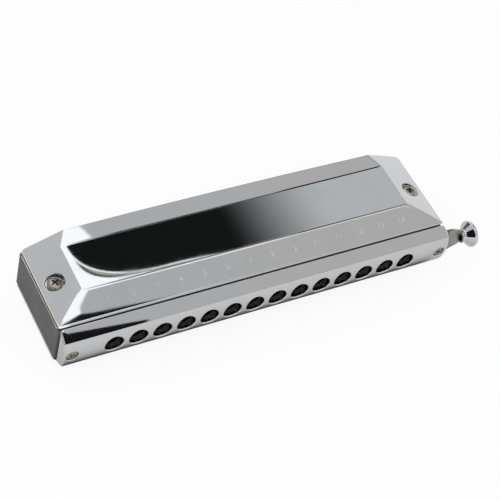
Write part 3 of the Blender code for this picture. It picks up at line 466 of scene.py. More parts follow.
def pressCover(shape):
    low, high = boxOf("upper_cover")
    middle = (low.x + high.x) / 2
    half = (high.x - low.x) / 2 + shape["endPast"]
    baseHalf = half - shape["endLip"]
    baseFront = low.y + shape["frontLip"]
    fall = (shape["panelTop"] - shape["lipTop"]) / (baseHalf - shape["panelHalf"])
    rearEnd = high.z - shape["rearBow"]
    rearHalf = shape["panelHalf"] - (rearEnd - shape["panelTop"]) / fall
    panelMiddle = (middle, (shape["frontCrease"] + shape["backCrease"]) / 2, shape["panelTop"])
    panelSize = (shape["panelHalf"], (shape["backCrease"] - shape["frontCrease"]) / 2, 1.0, 1.0)

    bm = bmesh.new()
    bmesh.ops.create_grid(bm, x_segments=1, y_segments=1, size=1.0,
                          matrix=Matrix.Translation(panelMiddle) @ Matrix.Diagonal(panelSize))
    front = [vert for vert in bm.verts if near(vert.co.y, shape["frontCrease"])]
    bmesh.ops.bevel(bm, geom=front, offset=shape["hipRound"], segments=shape["hipSteps"], profile=0.5,
                    affect="VERTICES", material=-1)
    rear = openEdges(bm, lambda co: near(co.y, shape["backCrease"]))
    bmesh.ops.subdivide_edges(bm, edges=rear, cuts=shape["rearParts"] - 1)

    rear = set(openEdges(bm, lambda co: near(co.y, shape["backCrease"])))
    slopes, _ = pullEdges(bm, [edge for edge in bm.edges if edge not in rear])
    for vert in slopes:  # each hip narrows to a point at the foot
        side = 1 if vert.co.x > middle else -1
        frontish = vert.co.y < shape["frontCrease"] + shape["hipRound"] + slack
        vert.co = (middle + side * baseHalf, baseFront if frontish else shape["backCrease"], shape["lipTop"])
    mergeUp(bm)

    band, _ = pullEdges(bm, openEdges(bm, lambda co: near(co.y, shape["backCrease"])))
    for vert in band:
        along = (vert.co.x - middle) / shape["panelHalf"]
        if vert.co.z > shape["lipTop"] + slack:
            vert.co = (middle + along * rearHalf, high.y, rearEnd + shape["rearBow"] * (1 - along ** 2))
        else:
            vert.co.y = high.y
    seams = [edge for edge in bm.edges if all(near(vert.co.y, shape["backCrease"]) for vert in edge.verts)
             and not near(edge.verts[0].co.z, edge.verts[1].co.z, 1.0)]  # each end slope is one face
    bmesh.ops.dissolve_edges(bm, edges=seams, use_verts=False)

    lips, _ = pullEdges(bm, openEdges(bm, lambda co: near(co.z, shape["lipTop"])))
    for vert in lips:
        if near(abs(vert.co.x - middle), baseHalf):
            vert.co.x += math.copysign(shape["endLip"], vert.co.x - middle)
        if near(vert.co.y, baseFront):
            vert.co.y = low.y
    hem, _ = pullEdges(bm, openEdges(bm, lambda co: near(co.y, high.y) and co.z > rearEnd - slack))
    for vert in hem:
        vert.co.z -= shape["hem"]
    mergeUp(bm)
    faceUp(bm)

    def onBackCrease(edge):
        return all(near(vert.co.y, shape["backCrease"]) and near(vert.co.z, shape["panelTop"])
                   for vert in edge.verts)

    creases = [edge for edge in bm.edges if len(edge.link_faces) == 2
               and (onBackCrease(edge) or edge.calc_face_angle_signed() > shape["leastFold"])]
    bmesh.ops.bevel(bm, geom=creases, offset=shape["bend"], segments=shape["bendSteps"], profile=0.5,
                    affect="EDGES", material=-1)
    wide = [face for face in bm.faces if face.calc_area() > shape["wideFace"]]
    bmesh.ops.inset_individual(bm, faces=wide, thickness=shape["flatBorder"],
                               use_even_offset=True)  # a border keeps their shading flat
    for side in (-1, 1):
        pressDimple(bm, shape, side, middle,
                    lambda x: shape["panelTop"] - (abs(x - middle) - shape["panelHalf"]) * fall)
    for side in (-1, 1):
        trimCorner(bm, (middle + side * half, low.y), (-side, 1), shape["frontCorner"], shape["cornerSteps"])
        trimCorner(bm, (middle + side * half, high.y), (-side, -1), shape["rearCorner"], shape["cornerSteps"])
    mergeUp(bm)
    faceUp(bm)
    return bm


def finishCover(name, bm, node, shape):
    piece = meshObject(name, bm)
    thicken(piece, "sheet", shape["sheet"], True)
    softEdges(piece, "sheetEdge", shape["edgeRound"], 60)
    dress(piece, chrome, stands=(node,), sharpAt=24.0)


upper = pressCover(coverShape)
lower = upper.copy()
bmesh.ops.scale(lower, vec=(1, 1, -1), verts=lower.verts)
bmesh.ops.reverse_faces(lower, faces=lower.faces)
finishCover("upperCover", upper, "upper_cover", coverShape)
finishCover("lowerCover", lower, "lower_cover", coverShape)
print("covers pressed")


# mouthpiece
mouthShape = {
    "creaseY": -4.48, "creaseZ": 6.09, "creaseLow": 6.5, "creaseRound": 0.14, "creaseSteps": 3,
    "flangeY": 0.1, "flangeZ": 8.65, "flangeRound": 0.3, "flangeSteps": 8, "heelZ": 7.95, "backY": -0.3,
    "nose": -5.8, "endRound": (0.7, 1.4), "endSteps": 6,
    "hole": 3.5, "lip": 0.5, "lipSteps": 5, "side": 10, "rings": 5,
    "screws": (-75.4, 75.1), "screwSeat": 2.26, "screwRim": 0.3,
    "pocketFloor": -2.55, "pocketHalf": 6.9, "pocketLeft": -77.5, "cutPast": 2.0,
    "backCorner": [(76.9, 0.4), (77.45, 0.0), (78.0, -0.7), (78.55, -1.6), (78.95, -2.5), (79.3, -3.6),
                   (82, -3.6), (82, 2), (76.9, 2)],
}


def holedPanel(bm, shape, left, right, centre, radius):  # a rectangle with a round opening, as rings of quads
    stand = Matrix.Rotation(math.radians(90), 4, "X")
    made = bmesh.ops.create_grid(bm, x_segments=shape["side"], y_segments=shape["side"], size=1.0,
                                 matrix=stand)
    border = [vert for vert in made["verts"] if near(max(abs(vert.co.x), abs(vert.co.z)), 1.0)]
    inner = [vert for vert in made["verts"] if vert not in border]
    bmesh.ops.delete(bm, geom=inner, context="VERTS")
    edges = list(dict.fromkeys(edge for vert in border for edge in vert.link_edges))
    middle, half = (left + right) / 2, (right - left) / 2
    placed = {}

    def place(verts, share):
        for vert in verts:
            across, high = vert.co.x, vert.co.z
            if near(abs(across), 1.0):
                angle = math.radians(45) * high
                ray = (math.copysign(math.cos(angle), across), math.sin(angle))
            else:
                angle = math.radians(45) * across
                ray = (math.sin(angle), math.copysign(math.cos(angle), high))
            flat = Vector((middle + across * half, high * shape["creaseZ" if high > 0 else "creaseLow"]))
            curved = Vector((centre + ray[0] * radius, ray[1] * radius))
            placed[vert] = flat.lerp(curved, share)

    place(border, 0.0)
    for ring in range(shape["rings"]):
        verts, edges = pullEdges(bm, edges)
        place(verts, (ring + 1) / shape["rings"])
    for vert, spot in placed.items():
        vert.co = (spot.x, 0.0, spot.y)
    return edges


def pressMouthpiece(shape):
    low, high = boxOf("mouthpiece")
    rise = shape["creaseY"] - shape["nose"]
    bow = (shape["creaseZ"] ** 2 + rise ** 2) / (2 * rise)  # radius of the front's curve
    left, right = low.x + shape["endRound"][0], high.x - shape["endRound"][1]

    def frontAt(z):
        z *= 1 if z > 0 else shape["creaseZ"] / shape["creaseLow"]
        return shape["nose"] + bow - math.sqrt(bow ** 2 - z ** 2)

    bm = bmesh.new()
    half = row["pitch"] / 2
    openings = [(x - half, x + half, x, shape["hole"], shape["lip"]) for x in holeXs]
    for spot, edge, inner in zip(shape["screws"], (left, right), (holeXs[0] - half, holeXs[-1] + half)):
        openings.append((min(edge, inner), max(edge, inner), spot, shape["screwSeat"], shape["screwRim"]))
    loops = [holedPanel(bm, shape, start, end, spot, radius + lip)
             for start, end, spot, radius, lip in openings]
    for vert in bm.verts:
        vert.co.y = frontAt(vert.co.z)
    turns = [math.radians(90 * (step + 1) / shape["lipSteps"]) for step in range(shape["lipSteps"])]
    for (_, _, spot, radius, lip), edges in zip(openings, loops):
        profile = [(radius + lip * (1 - math.sin(angle)), lip * (1 - math.cos(angle))) for angle in turns]
        for reach, drop in [*profile, (radius, None)]:  # the rounded lip, then the bore
            verts, edges = pullEdges(bm, edges)
            for vert in verts:
                ray = Vector((vert.co.x - spot, vert.co.z)).normalized() * reach
                vert.co.x, vert.co.z = spot + ray.x, ray.y
                vert.co.y = shape["backY"] if drop is None else frontAt(vert.co.z) + drop
    mergeUp(bm)

    rims = []
    for side, crease in ((1, shape["creaseZ"]), (-1, shape["creaseLow"])):
        chain = openEdges(bm, lambda co: near(co.z, side * crease))
        for y, z in ((shape["flangeY"], shape["flangeZ"]), (shape["flangeY"], shape["heelZ"]),
                     (shape["backY"], shape["heelZ"]), (shape["backY"], shape["pocketHalf"])):
            verts, chain = pullEdges(bm, chain)
            for vert in verts:
                vert.co.y, vert.co.z = y, side * z
        rims += chain
    for x in (left, right):  # the back closes from end to end
        foot = [vert for vert in bm.verts if near(vert.co.x, x) and near(vert.co.y, shape["backY"])
                and near(abs(vert.co.z), shape["pocketHalf"])]
        rims.append(bm.edges.new(foot))
    rims += openEdges(bm, lambda co: near(co.y, shape["backY"]) and abs(co.z) < shape["pocketHalf"] + slack)
    bmesh.ops.triangle_fill(bm, use_beauty=True, edges=list(dict.fromkeys(rims)))
    bmesh.ops.recalc_face_normals(bm, faces=bm.faces)

    for bend, level in (("flange", "flangeZ"), ("crease", "creaseZ"), ("crease", "creaseLow")):
        y, z = shape[bend + "Y"], shape[level]
        edges = [edge for edge in bm.edges if len(edge.link_faces) == 2
                 and all(near(vert.co.y, y) and near(abs(vert.co.z), z) for vert in edge.verts)]
        bmesh.ops.bevel(bm, geom=edges, offset=shape[bend + "Round"], segments=shape[bend + "Steps"],
                        profile=0.5, affect="EDGES", material=-1)
    for x, way, bend in ((left, -1, shape["endRound"][0]), (right, 1, shape["endRound"][1])):
        edges = openEdges(bm, lambda co: near(co.x, x))
        heart = (x, (shape["nose"] + shape["flangeY"]) / 2, 0.0)
        reach = ((shape["flangeY"] - shape["nose"]) / 2, shape["flangeZ"])
        now = 0.0
        for step in range(shape["endSteps"]):
            angle = math.radians(90 * (step + 1) / shape["endSteps"])
            verts, edges = pullEdges(bm, edges)
            inset = bend * (1 - math.cos(angle))
            shrink = [(size - inset) / (size - now) for size in reach]
            now = inset
            bmesh.ops.scale(bm, vec=(1, *shrink), space=Matrix.Translation(heart).inverted(), verts=verts)
            for vert in verts:
                vert.co.x = x + way * bend * math.sin(angle)
        bmesh.ops.contextual_create(bm, geom=edges)
    mergeUp(bm)
    past = shape["cutPast"]
    pocket = boxBetween((shape["pocketLeft"], shape["pocketFloor"], -shape["pocketHalf"]),
                        (high.x + past, shape["backY"] + past, shape["pocketHalf"]))
    return cutAway(bm, [pocket, prism(shape["backCorner"], low.z - past, high.z + past)])


mouthpiece = meshObject("mouthpiecePlate", pressMouthpiece(mouthShape))
dress(mouthpiece, chrome, stands=("mouthpiece",), sharpAt=50.0)
print("mouthpiece made")


# slide button
buttonShape = {
    "profile": [(0.0, 2.6), (1.72, 2.6), (1.72, -0.4), (2.45, -0.4), (2.55, -0.34), (2.6, -0.22), (2.6, 0.38),
                (2.54, 0.46), (2.4, 0.5), (2.36, 0.56), (2.36, 0.8), (2.4, 0.86), (2.52, 0.9), (2.58, 0.98),
                (2.58, 1.26), (2.62, 1.34), (5.0, 3.46), (5.12, 3.6), (5.19, 3.8), (5.2, 4.1), (5.14, 4.5),
                (5.0, 4.82), (4.76, 5.05), (4.4, 5.19), (3.6, 5.29), (2.5, 5.38), (1.3, 5.45), (0.0, 5.48)],
    "steps": 96,
}
buttonLow, buttonHigh = boxOf("slide_button")
buttonFoot = Matrix.Translation((buttonLow.x, (buttonLow.y + buttonHigh.y) / 2, 0))
buttonPlace = buttonFoot @ Matrix.Rotation(math.radians(90), 4, "Y")
buttonMesh = turned(buttonShape["profile"], buttonShape["steps"], buttonPlace)
dress(meshObject("pressButton", buttonMesh), chrome, "button_slide", ("slide_button",), 60.0)
print("button turned")


# screws and nuts
coverScrew = {
    "head": [(0.0, 1.5), (0.7, 1.47), (1.4, 1.36), (2.0, 1.17), (2.4, 0.93), (2.62, 0.72), (2.73, 0.5),
             (2.75, 0.3), (2.75, 0.08), (2.67, 0.0)],
    "shank": [(1.25, 0.0), (1.25, -17.9), (0.95, -18.2), (0.0, -18.2)],
    "sleeve": [(1.9, 0.0), (1.9, -4.45), (1.75, -4.6), (1.35, -4.6), (1.35, -0.6), (0.0, -0.6)],
    "seat": 9.6, "steps": 64,
    "recessReach": 1.6, "recessWidth": 0.78, "recessDepth": 1.2, "recessFoot": 0.6,
}
mouthScrew = {
    "head": [(0.0, 0.22), (0.6, 0.21), (1.2, 0.16), (1.7, 0.06), (2.0, -0.06), (2.12, -0.13), (2.16, -0.22),
             (2.16, -0.4)],
    "shank": [(1.0, -1.5), (1.0, -12.5), (0.7, -12.8), (0.0, -12.8)],
    "seat": -5.35, "steps": 64,
    "recessReach": 1.25, "recessWidth": 0.6, "recessDepth": 0.9, "recessFoot": 0.55,
}
crossTurn = {"left": 25.0, "right": 65.0}  # as the screwdriver left them


def crossRecess(shape, place):  # two tapered bars that cut the cross
    top = max(height for _, height in shape["head"])
    low, high = top - shape["recessDepth"], top + 0.4  # clear above the head
    reach, half = shape["recessReach"], shape["recessWidth"] / 2
    bars = []
    for x, y in ((reach, half), (half, reach)):
        bm = boxBetween((-x, -y, low), (x, y, high))
        foot = [vert for vert in bm.verts if near(vert.co.z, low)]
        bmesh.ops.scale(bm, vec=(shape["recessFoot"], shape["recessFoot"], 1), verts=foot)
        bmesh.ops.transform(bm, matrix=place, verts=bm.verts)
        bars.append(bm)
    return bars


def driveScrew(name, shape, foot, place, node):
    bm = cutAway(turned(shape["head"] + shape[foot], shape["steps"], place), crossRecess(shape, place))
    dress(meshObject(name, bm), nickel, stands=(node,), sharpAt=35.0)


def middleOf(node):
    low, high = boxOf(node)
    return (low + high) / 2


for end, turn in crossTurn.items():
    spin = Matrix.Rotation(math.radians(turn), 4, "Z")
    spot = middleOf("cover_screw_" + end)
    seat = Matrix.Translation((spot.x, spot.y, coverScrew["seat"]))
    driveScrew("coverScrew." + end, coverScrew, "shank", seat @ spin, "cover_screw_" + end)
    seat = Matrix.Rotation(math.pi, 4, "X") @ Matrix.Translation((spot.x, -spot.y, coverScrew["seat"]))
    driveScrew("coverNut." + end, coverScrew, "sleeve", seat @ spin, "cover_nut_" + end)
    spot = middleOf("mouthpiece_screw_" + end)
    seat = Matrix.Translation((spot.x, mouthScrew["seat"], 0)) @ Matrix.Rotation(math.radians(90), 4, "X")
    driveScrew("mouthScrew." + end, mouthScrew, "shank", seat @ spin, "mouthpiece_screw_" + end)
print("screws made")


# pieces that follow the frame's own mesh: comb and slide with their edges broken, reed plates drawn out at
# their ends
edgeBreaks = {
    "comb": ("combBlock", combPlastic, "comb_plastic", "instrument", 0.22),
    "slide": ("slidePlate", slideSteel, "slide_steel", "button_slide", 0.1),
}
plateReach = {"from": 76.0, "past": 0.3}  # the brass comes out almost level with the comb's ends


def copyOf(node):
    bm = bmesh.new()
    bm.from_mesh(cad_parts[node].data)
    bmesh.ops.transform(bm, matrix=toDrawing, verts=bm.verts)
    mergeUp(bm)
    return bm


def brokenEdges(node, name, material, slot, body, width):
    bm = copyOf(node)
    bmesh.ops.dissolve_limit(bm, angle_limit=math.radians(1), verts=bm.verts, edges=bm.edges)
    piece = meshObject(name, bm)
    softEdges(piece, "brokenEdge", width, 50)
    dress(piece, material, body, (node,))


def longPlate(node, name, reach):
    bm = copyOf(node)
    low, high = boxOf(node)
    middle, half = (low.x + high.x) / 2, (high.x - low.x) / 2
    for vert in bm.verts:
        share = max(abs(vert.co.x - middle) - reach["from"], 0.0) / (half - reach["from"])
        vert.co.x += math.copysign(share * reach["past"], vert.co.x - middle)
    dress(meshObject(name, bm), brass, stands=(node,), sharpAt=30.0)


for node, finish in edgeBreaks.items():
    brokenEdges(node, *finish)
for side in ("upper", "lower"):
    longPlate(side + "_reed_plate", side + "ReedPlate", plateReach)
print("comb, plates and slide made")


# numbers over the holes, etched in the front slope
numberLook = {"height": 2.2, "y": 5.2, "across": 1.0, "proud": 0.008, "depth": 0.05, "fontShare": 0.69}


def meshOf(curve):  # turns a curve or text into a mesh and drops it
    holder = bpy.data.objects.new("holder", curve)
    scene.collection.objects.link(holder)
    mesh = bpy.data.meshes.new_from_object(holder.evaluated_get(bpy.context.evaluated_depsgraph_get()))
    bpy.data.objects.remove(holder)
    bpy.data.curves.remove(curve)
    return mesh


def numberMesh(number):
    words = bpy.data.curves.new("number", "FONT")
    words.body = str(number)
    words.align_x = "CENTER"
    words.align_y = "CENTER"
    return meshOf(words)


numbers = bmesh.new()
footY = boxOf("upper_cover")[0].y + coverShape["frontLip"]
rise = (coverShape["panelTop"] - coverShape["lipTop"]) / (coverShape["frontCrease"] - footY)
height = coverShape["lipTop"] + (numberLook["y"] - footY) * rise + numberLook["proud"]
size = numberLook["height"] / numberLook["fontShare"]  # the font's figures are this share of its size
leaned = Matrix.Rotation(math.atan(rise), 4, "X") @ Matrix.Scale(size, 4)
for number, x in enumerate(holeXs, start=1):
    mesh = numberMesh(number)
    mesh.transform(Matrix.Translation((x + numberLook["across"], numberLook["y"], height)) @ leaned)
    numbers.from_mesh(mesh)
    bpy.data.meshes.remove(mesh)
mergeUp(numbers)
bmesh.ops.dissolve_degenerate(numbers, dist=mergeReach, edges=numbers.edges)
figures = meshObject("holeNumbers", numbers)
thicken(figures, "inlay", numberLook["depth"], False)
dress(figures, etched, flatten=False)
print("numbers etched")


# return spring, with a short fixed leg and a long leg that reaches the slide
springShape = {
    "post": (68.3, 7.2), "radius": 2.1, "wire": 0.25, "turns": 3.25, "pitch": 0.95, "parts": 104,
    "fixedLeg": 3.2, "tip": -1.8, "legParts": 12, "bendFrom": 6.2, "bendTo": -0.9,
}


def windSpring(shape):
    height = shape["turns"] * shape["pitch"]
    path = []
    for part in range(shape["parts"] + 1):
        share = part / shape["parts"]
        angle = math.tau * shape["turns"] * (1 - share)
        path.append(Vector((shape["post"][0] + shape["radius"] * math.cos(angle),
                            shape["post"][1] + shape["radius"] * math.sin(angle), height * (share - 0.5))))
    start = path[0] - Vector((shape["fixedLeg"], 0, 0))
    tip = Vector((path[-1].x, shape["tip"], path[-1].z))
    leg = [path[-1].lerp(tip, (part + 1) / shape["legParts"]) for part in range(shape["legParts"])]
    path = [start, *path, *leg]
    wire = bpy.data.curves.new("wire", "CURVE")
    wire.dimensions = "3D"
    wire.bevel_depth = shape["wire"]
    wire.bevel_resolution = 3
    wire.use_fill_caps = True
    line = wire.splines.new("POLY")
    line.points.add(len(path) - 1)
    for point, spot in zip(line.points, path):
        point.co = (*spot, 1.0)
    mesh = meshOf(wire)
    bm = bmesh.new()
    bm.from_mesh(mesh)
    bpy.data.meshes.remove(mesh)
    mergeUp(bm)
    return bm, tip


springMesh, legEnd = windSpring(springShape)
spring = meshObject("returnSpring", springMesh)
spring.data.materials.append(springSteel)
spring.data.shade_smooth()
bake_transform(spring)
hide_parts("return_spring")
print("spring wound")


# finishes of the pieces that stay as the frame has them
carried = {
    "slide_back_plate": darkPlate, "slide_guide": darkPlate, "spring_pin": springSteel,
    "slide_bumper_left": silicone, "slide_bumper_right": silicone,
}
for name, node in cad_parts.items():
    node.data.materials.clear()
    node.data.materials.append(carried.get(name, nickel))
print("frame's own pieces finished")


# stage
def rayIs(paint, name):
    return paint.node("ShaderNodeLightPath", {}, {}, "Is %s Ray" % name)


def rayShare(paint, seen):  # the given share for the camera, all for metal and glass, nothing for light
    return rayIs(paint, "Camera") * seen + rayIs(paint, "Glossy").atLeast(rayIs(paint, "Transmission"))


def stagePlane(name, size, place, material):
    bm = bmesh.new()
    bmesh.ops.create_grid(bm, x_segments=1, y_segments=1, size=0.5,
                          matrix=place @ Matrix.Diagonal((*size, 1.0, 1.0)))
    mesh = bpy.data.meshes.new(name)
    bm.to_mesh(mesh)
    bm.free()
    mesh.materials.append(material)
    plane = bpy.data.objects.new(name, mesh)
    scene.collection.objects.link(plane)
    return plane


def onlyMirrored(plane):  # shows in metal and nowhere else
    for ray in ("camera", "diffuse", "shadow", "transmission", "volume_scatter"):
        setattr(plane, "visible_" + ray, False)


floorLook = {
    "size": 6.0, "paper": rgb(0.82, 0.82, 0.82), "seenGlow": 0.90, "mirroredFar": 0.85, "mirroredNear": 0.03,
    "back": 36.0, "end": 70.0, "nearby": 9.0, "shadeTo": 1.2, "shadeGain": 0.75, "shadeLeast": 0.1,
}
floorMaterial, paint = startMaterial("paleFloor")
toFront = drawnAt(paint, "Y") * -1
toBack = drawnAt(paint, "Y") - floorLook["back"]
toEnd = abs(drawnAt(paint, "X")) - floorLook["end"]
away = toFront.atLeast(toBack).atLeast(toEnd).atLeast(0.0) / floorLook["nearby"]
lit = away ** 2.0 / (away ** 2.0 + 1) * floorLook["mirroredFar"] + floorLook["mirroredNear"]
lit = lit * (away.atMost(floorLook["shadeTo"]) * floorLook["shadeGain"] + floorLook["shadeLeast"])
mirrored = 1 + (lit - 1) * rayIs(paint, "Glossy")  # painted shadow: metal sees the floor darken towards the object
paper = paint.node("ShaderNodeBsdfDiffuse", {}, {"Color": floorLook["paper"]})
glow = paint.node("ShaderNodeEmission", {}, {"Color": mirrored, "Strength": 1.0})
both = paint.node("ShaderNodeMixShader", {}, {0: rayShare(paint, floorLook["seenGlow"]), 1: paper, 2: glow})
paint.node("ShaderNodeOutputMaterial", {}, {"Surface": both})
stagePlane("floor", (floorLook["size"],) * 2, Matrix.Translation((0, 0, cadBox[0][2])), floorMaterial)

studioLook = {"sky": 0.8, "seen": 1.0}
world = bpy.data.worlds.new("studio")
scene.world = world
world.use_nodes = True
world.node_tree.nodes.clear()
paint = Wire(world.node_tree)
sky = paint.node("ShaderNodeBackground", {}, {"Color": rgb(1, 1, 1), "Strength": studioLook["sky"]})
plain = paint.node("ShaderNodeBackground", {}, {"Color": rgb(1, 1, 1), "Strength": studioLook["seen"]})
both = paint.node("ShaderNodeMixShader", {}, {0: rayShare(paint, 1.0), 1: sky, 2: plain})
paint.node("ShaderNodeOutputWorld", {}, {"Surface": both})

# overhead scrim that the chrome mirrors: bright sheet on the left, grey sheet, dark cards
scrimLook = {"height": 800.0, "size": 3600.0}
scrimTones = {
    "grey": 0.65, "white": 1.58, "black": 0.012, "lip": 0.78, "cardEdge": 0.5, "panelRight": 0.72,
    "bendLight": 1.1, "bendDark": 0.03, "leftEnd": 0.76,
}
scrimTints = {
    "left": rgb(0.995, 0.995, 1.02), "right": rgb(1.01, 1.0, 0.98), "panel": rgb(0.965, 1.0, 1.01),
    "crescent": rgb(1.05, 1.0, 0.9),
}
whiteSheet = {  # a span is low, high and soft, a pair is where a rise starts and ends
    "edge": 212, "stepFrom": -337, "stepSlope": 0.69, "stepMost": 11.0, "turnFrom": -355,
    "rearEdge": 230, "rearSlope": 0.19, "rearSpan": (40, 230, 3),
    "hipSlope": 0.72, "hipHalf": (85, 65), "north": (225, 245), "east": (90, 120),
}
rearCard = {"edge": 200, "corner": 541, "slope": 1.2, "north": (484, 472), "span": (425, 640, 10)}
bendCards = [  # tone, span to the north, span to the east: only the covers' bends mirror them
    ("bendDark", (210, 478, 6), (250, 425, 10)),
    ("bendDark", (195, 330, 4), (562, 850, 6)),
    ("white", (-312, -60, 6), (20, 415, 10)),
    ("bendLight", (-312, -60, 6), (415, 600, 10)),
]
panelCards = {
    "north": (533, 536), "cardNorth": (690, 660), "centre": (350, 600),
    "outer": {"reach": (95.5, 59.8), "power": 4.0, "longer": 0.06, "east": (310, 370)},
    "inner": {"reach": (96.0, 57.7), "power": 2.6, "longer": 0.1, "east": (350, 450)},
}
slopeCard = {
    "edge": -344.4, "corner": 211, "leftSlope": 0.32, "rightSlope": 0.15, "rightMost": 2.0,
    "runFrom": 224, "runSlope": 0.062, "north": (-372, -368),
}
mouthCard = {"edge": -387.9, "corner": 197, "slope": 0.139, "north": (-446, -440), "span": (-180, 285, 4)}
scrimMaterial, paint = startMaterial("scrim")
east = drawnAt(paint, "X")
north = drawnAt(paint, "Y")


def blendTone(tone, other, share):
    return tone + (other - tone) * share


def ovalReach(centre, oval):  # 1 on the rim of a squared-off card, which runs on to the east
    longer = 1 + oval["longer"] * east.rise(*oval["east"])
    across = ((centre[0] - east) / oval["reach"][0]).atLeast(0.0) ** oval["power"]
    along = ((centre[1] - north) / (longer * oval["reach"][1])).atLeast(0.0) ** oval["power"]
    return (across + along) ** (1 / oval["power"])


sheetStep = (north - whiteSheet["stepFrom"]).atLeast(0.0) * whiteSheet["stepSlope"]
sheetTurn = (whiteSheet["turnFrom"] - north).atLeast(0.0)
sheetEdge = whiteSheet["edge"] + sheetStep.atMost(whiteSheet["stepMost"]) - sheetTurn
sheetEdge = blendTone(sheetEdge, whiteSheet["rearEdge"] - north * whiteSheet["rearSlope"],
                      north.within(*whiteSheet["rearSpan"]))
hipPath = abs(east + north * whiteSheet["hipSlope"]).rise(*whiteSheet["hipHalf"])  # the front hip mirrors it
sheetPart = hipPath.atLeast(north.rise(*whiteSheet["north"])).atLeast(east.rise(*whiteSheet["east"]))
rearEdge = rearCard["edge"] - (rearCard["corner"] - east).atLeast(0.0) * rearCard["slope"]
panelPart = north.rise(*panelCards["north"])
cardPart = panelPart * north.rise(*panelCards["cardNorth"])
outer = ovalReach(panelCards["centre"], panelCards["outer"])
inner = ovalReach(panelCards["centre"], panelCards["inner"])
slopeLeft = (slopeCard["corner"] - east).atLeast(0.0) * slopeCard["leftSlope"]
slopeRight = (east - slopeCard["corner"]).atLeast(0.0) * slopeCard["rightSlope"]
slopeRun = (east - slopeCard["runFrom"]).atLeast(0.0) * slopeCard["runSlope"]
slopeEdge = slopeCard["edge"] - slopeLeft - slopeRight.atMost(slopeCard["rightMost"]) - slopeRun
mouthEdge = mouthCard["edge"] - (east - mouthCard["corner"]) * mouthCard["slope"]
layers = [  # each lies over those before it
    ("white", (sheetEdge - east).rise(-1.5, 1.5) * sheetPart),
    ("bendDark", (north - rearEdge).rise(-6, 6) * north.rise(*rearCard["north"])
     * east.within(*rearCard["span"])),
    *((name, north.within(*up) * east.within(*along)) for name, up, along in bendCards),
    ("lip", north.within(484, 530, 3) * east.rise(218, 226)),
    ("white", panelPart * north.rise(642, 638) * east.within(200, 355, 5)),
    ("bendDark", cardPart * outer.rise(1.002, 0.997)),  # thin dark line
    ("cardEdge", cardPart * outer.rise(0.968, 0.963)),
    ("white", cardPart * inner.rise(1.028, 1.023)),
    ("black", cardPart * inner.rise(1.003, 0.997)),
    ("panelRight", panelPart * east.rise(425, 560)),
    ("leftEnd", east.rise(-240, -320)),
    ("black", (slopeEdge - north).rise(-0.5, 0.5) * north.rise(*slopeCard["north"])),
    ("black", (mouthEdge - north).rise(-0.5, 0.5) * north.rise(*mouthCard["north"])
     * east.within(*mouthCard["span"])),
]
tone = scrimTones["grey"]
for name, share in layers:
    tone = blendTone(tone, scrimTones[name], share)
tint = mixed(paint, scrimTints["left"], scrimTints["right"], east.rise(280, 480))
tint = mixed(paint, tint, scrimTints["panel"], panelPart)
tint = mixed(paint, tint, scrimTints["crescent"], panelPart * outer.rise(1.0, 0.97) * inner.rise(1.02, 1.04))
colour = paint.node("ShaderNodeMix", {"data_type": "RGBA", "blend_type": "MULTIPLY"},
                    {0: 1.0, 6: tone, 7: tint}, 2)
glow = paint.node("ShaderNodeEmission", {}, {"Color": colour, "Strength": 1.0})
paint.node("ShaderNodeOutputMaterial", {}, {"Surface": glow})
above = Matrix.Translation((0, 0, bodyOrigin.z + scrimLook["height"] * mm))
onlyMirrored(stagePlane("scrim", (scrimLook["size"] * mm,) * 2, above, scrimMaterial))

# dark cards that the button mirrors, each as seen from it: azimuths and elevations in degrees
sideCards = {
    "away": 700.0, "wideCard": ((170, 226), (-2, 34)), "narrowCard": ((112, 134), (0, 22)),
    "pale": 0.4, "dark": 0.012, "darkFrom": (0.93, 0.995),
}
cardMaterial, paint = startMaterial("darkCard")
reach = paint.node("ShaderNodeLightPath", {}, {}, "Ray Length") / (sideCards["away"] * mm)
shade = blendTone(sideCards["pale"], sideCards["dark"], reach.rise(*sideCards["darkFrom"]))  # paler close by
glow = paint.node("ShaderNodeEmission", {}, {"Color": shade, "Strength": 1.0})
paint.node("ShaderNodeOutputMaterial", {}, {"Surface": glow})


def middleAndSpread(ends):  # the spread is a width at distance 1
    return math.radians(sum(ends) / 2), 2 * math.tan(math.radians(ends[1] - ends[0]) / 2)


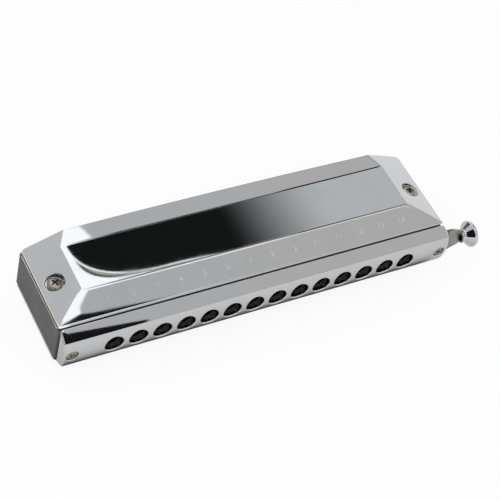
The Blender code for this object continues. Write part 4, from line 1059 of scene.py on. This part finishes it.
for name in ("wideCard", "narrowCard"):
    (turn, spread), (tilt, tall) = (middleAndSpread(ends) for ends in sideCards[name])
    way = Vector((math.cos(turn) * math.cos(tilt), math.sin(turn) * math.cos(tilt), math.sin(tilt)))
    spot = toFrame @ (buttonPlace.translation + way * sideCards["away"])
    place = Matrix.Translation(spot) @ way.to_track_quat("Z", "Y").to_matrix().to_4x4()
    size = [side * sideCards["away"] * mm for side in (spread, tall)]
    onlyMirrored(stagePlane(name, size, place, cardMaterial))

keyLight = {"power": 6.0, "size": 1.2, "place": (-500.0, -250.0, 900.0)}
lamp = bpy.data.lights.new("key", "AREA")
lamp.energy = keyLight["power"]
lamp.size = keyLight["size"]
lampObject = bpy.data.objects.new("key", lamp)
lampObject.location = toFrame @ Vector(keyLight["place"])
lampObject.rotation_euler = (bodyOrigin - lampObject.location).to_track_quat("-Z", "Y").to_euler()
lampObject.visible_glossy = False
scene.collection.objects.link(lampObject)

# camera, at the place the photograph was taken from
shot = {
    "azimuth": -40.036, "elevation": 48.909, "roll": 17.395,
    "distance": 535.973, "across": -3.511, "up": 14.09,
    "focalPixels": 1483.202, "imagePixels": 500, "sensor": 36.0, "clip": (0.01, 50.0),
}


def setCamera(shot):
    turn, tilt, roll = (math.radians(shot[name]) for name in ("azimuth", "elevation", "roll"))
    back = Vector((math.sin(turn) * math.cos(tilt), -math.cos(turn) * math.cos(tilt), math.sin(tilt)))
    right = Vector((math.cos(turn), math.sin(turn), 0.0))
    up = back.cross(right)
    right, up = right * math.cos(roll) + up * math.sin(roll), up * math.cos(roll) - right * math.sin(roll)
    spot = back * shot["distance"] + right * shot["across"] + up * shot["up"]
    camera = bpy.data.cameras.new("camera")
    camera.sensor_width = shot["sensor"]
    camera.lens = shot["focalPixels"] / shot["imagePixels"] * shot["sensor"]
    camera.clip_start, camera.clip_end = shot["clip"]
    holder = bpy.data.objects.new("camera", camera)
    holder.matrix_world = Matrix.Translation(toFrame @ spot) @ Matrix((right, up, back)).transposed().to_4x4()
    scene.collection.objects.link(holder)
    scene.camera = holder


setCamera(shot)
scene.view_settings.view_transform = "Standard"
print("stage and camera set")
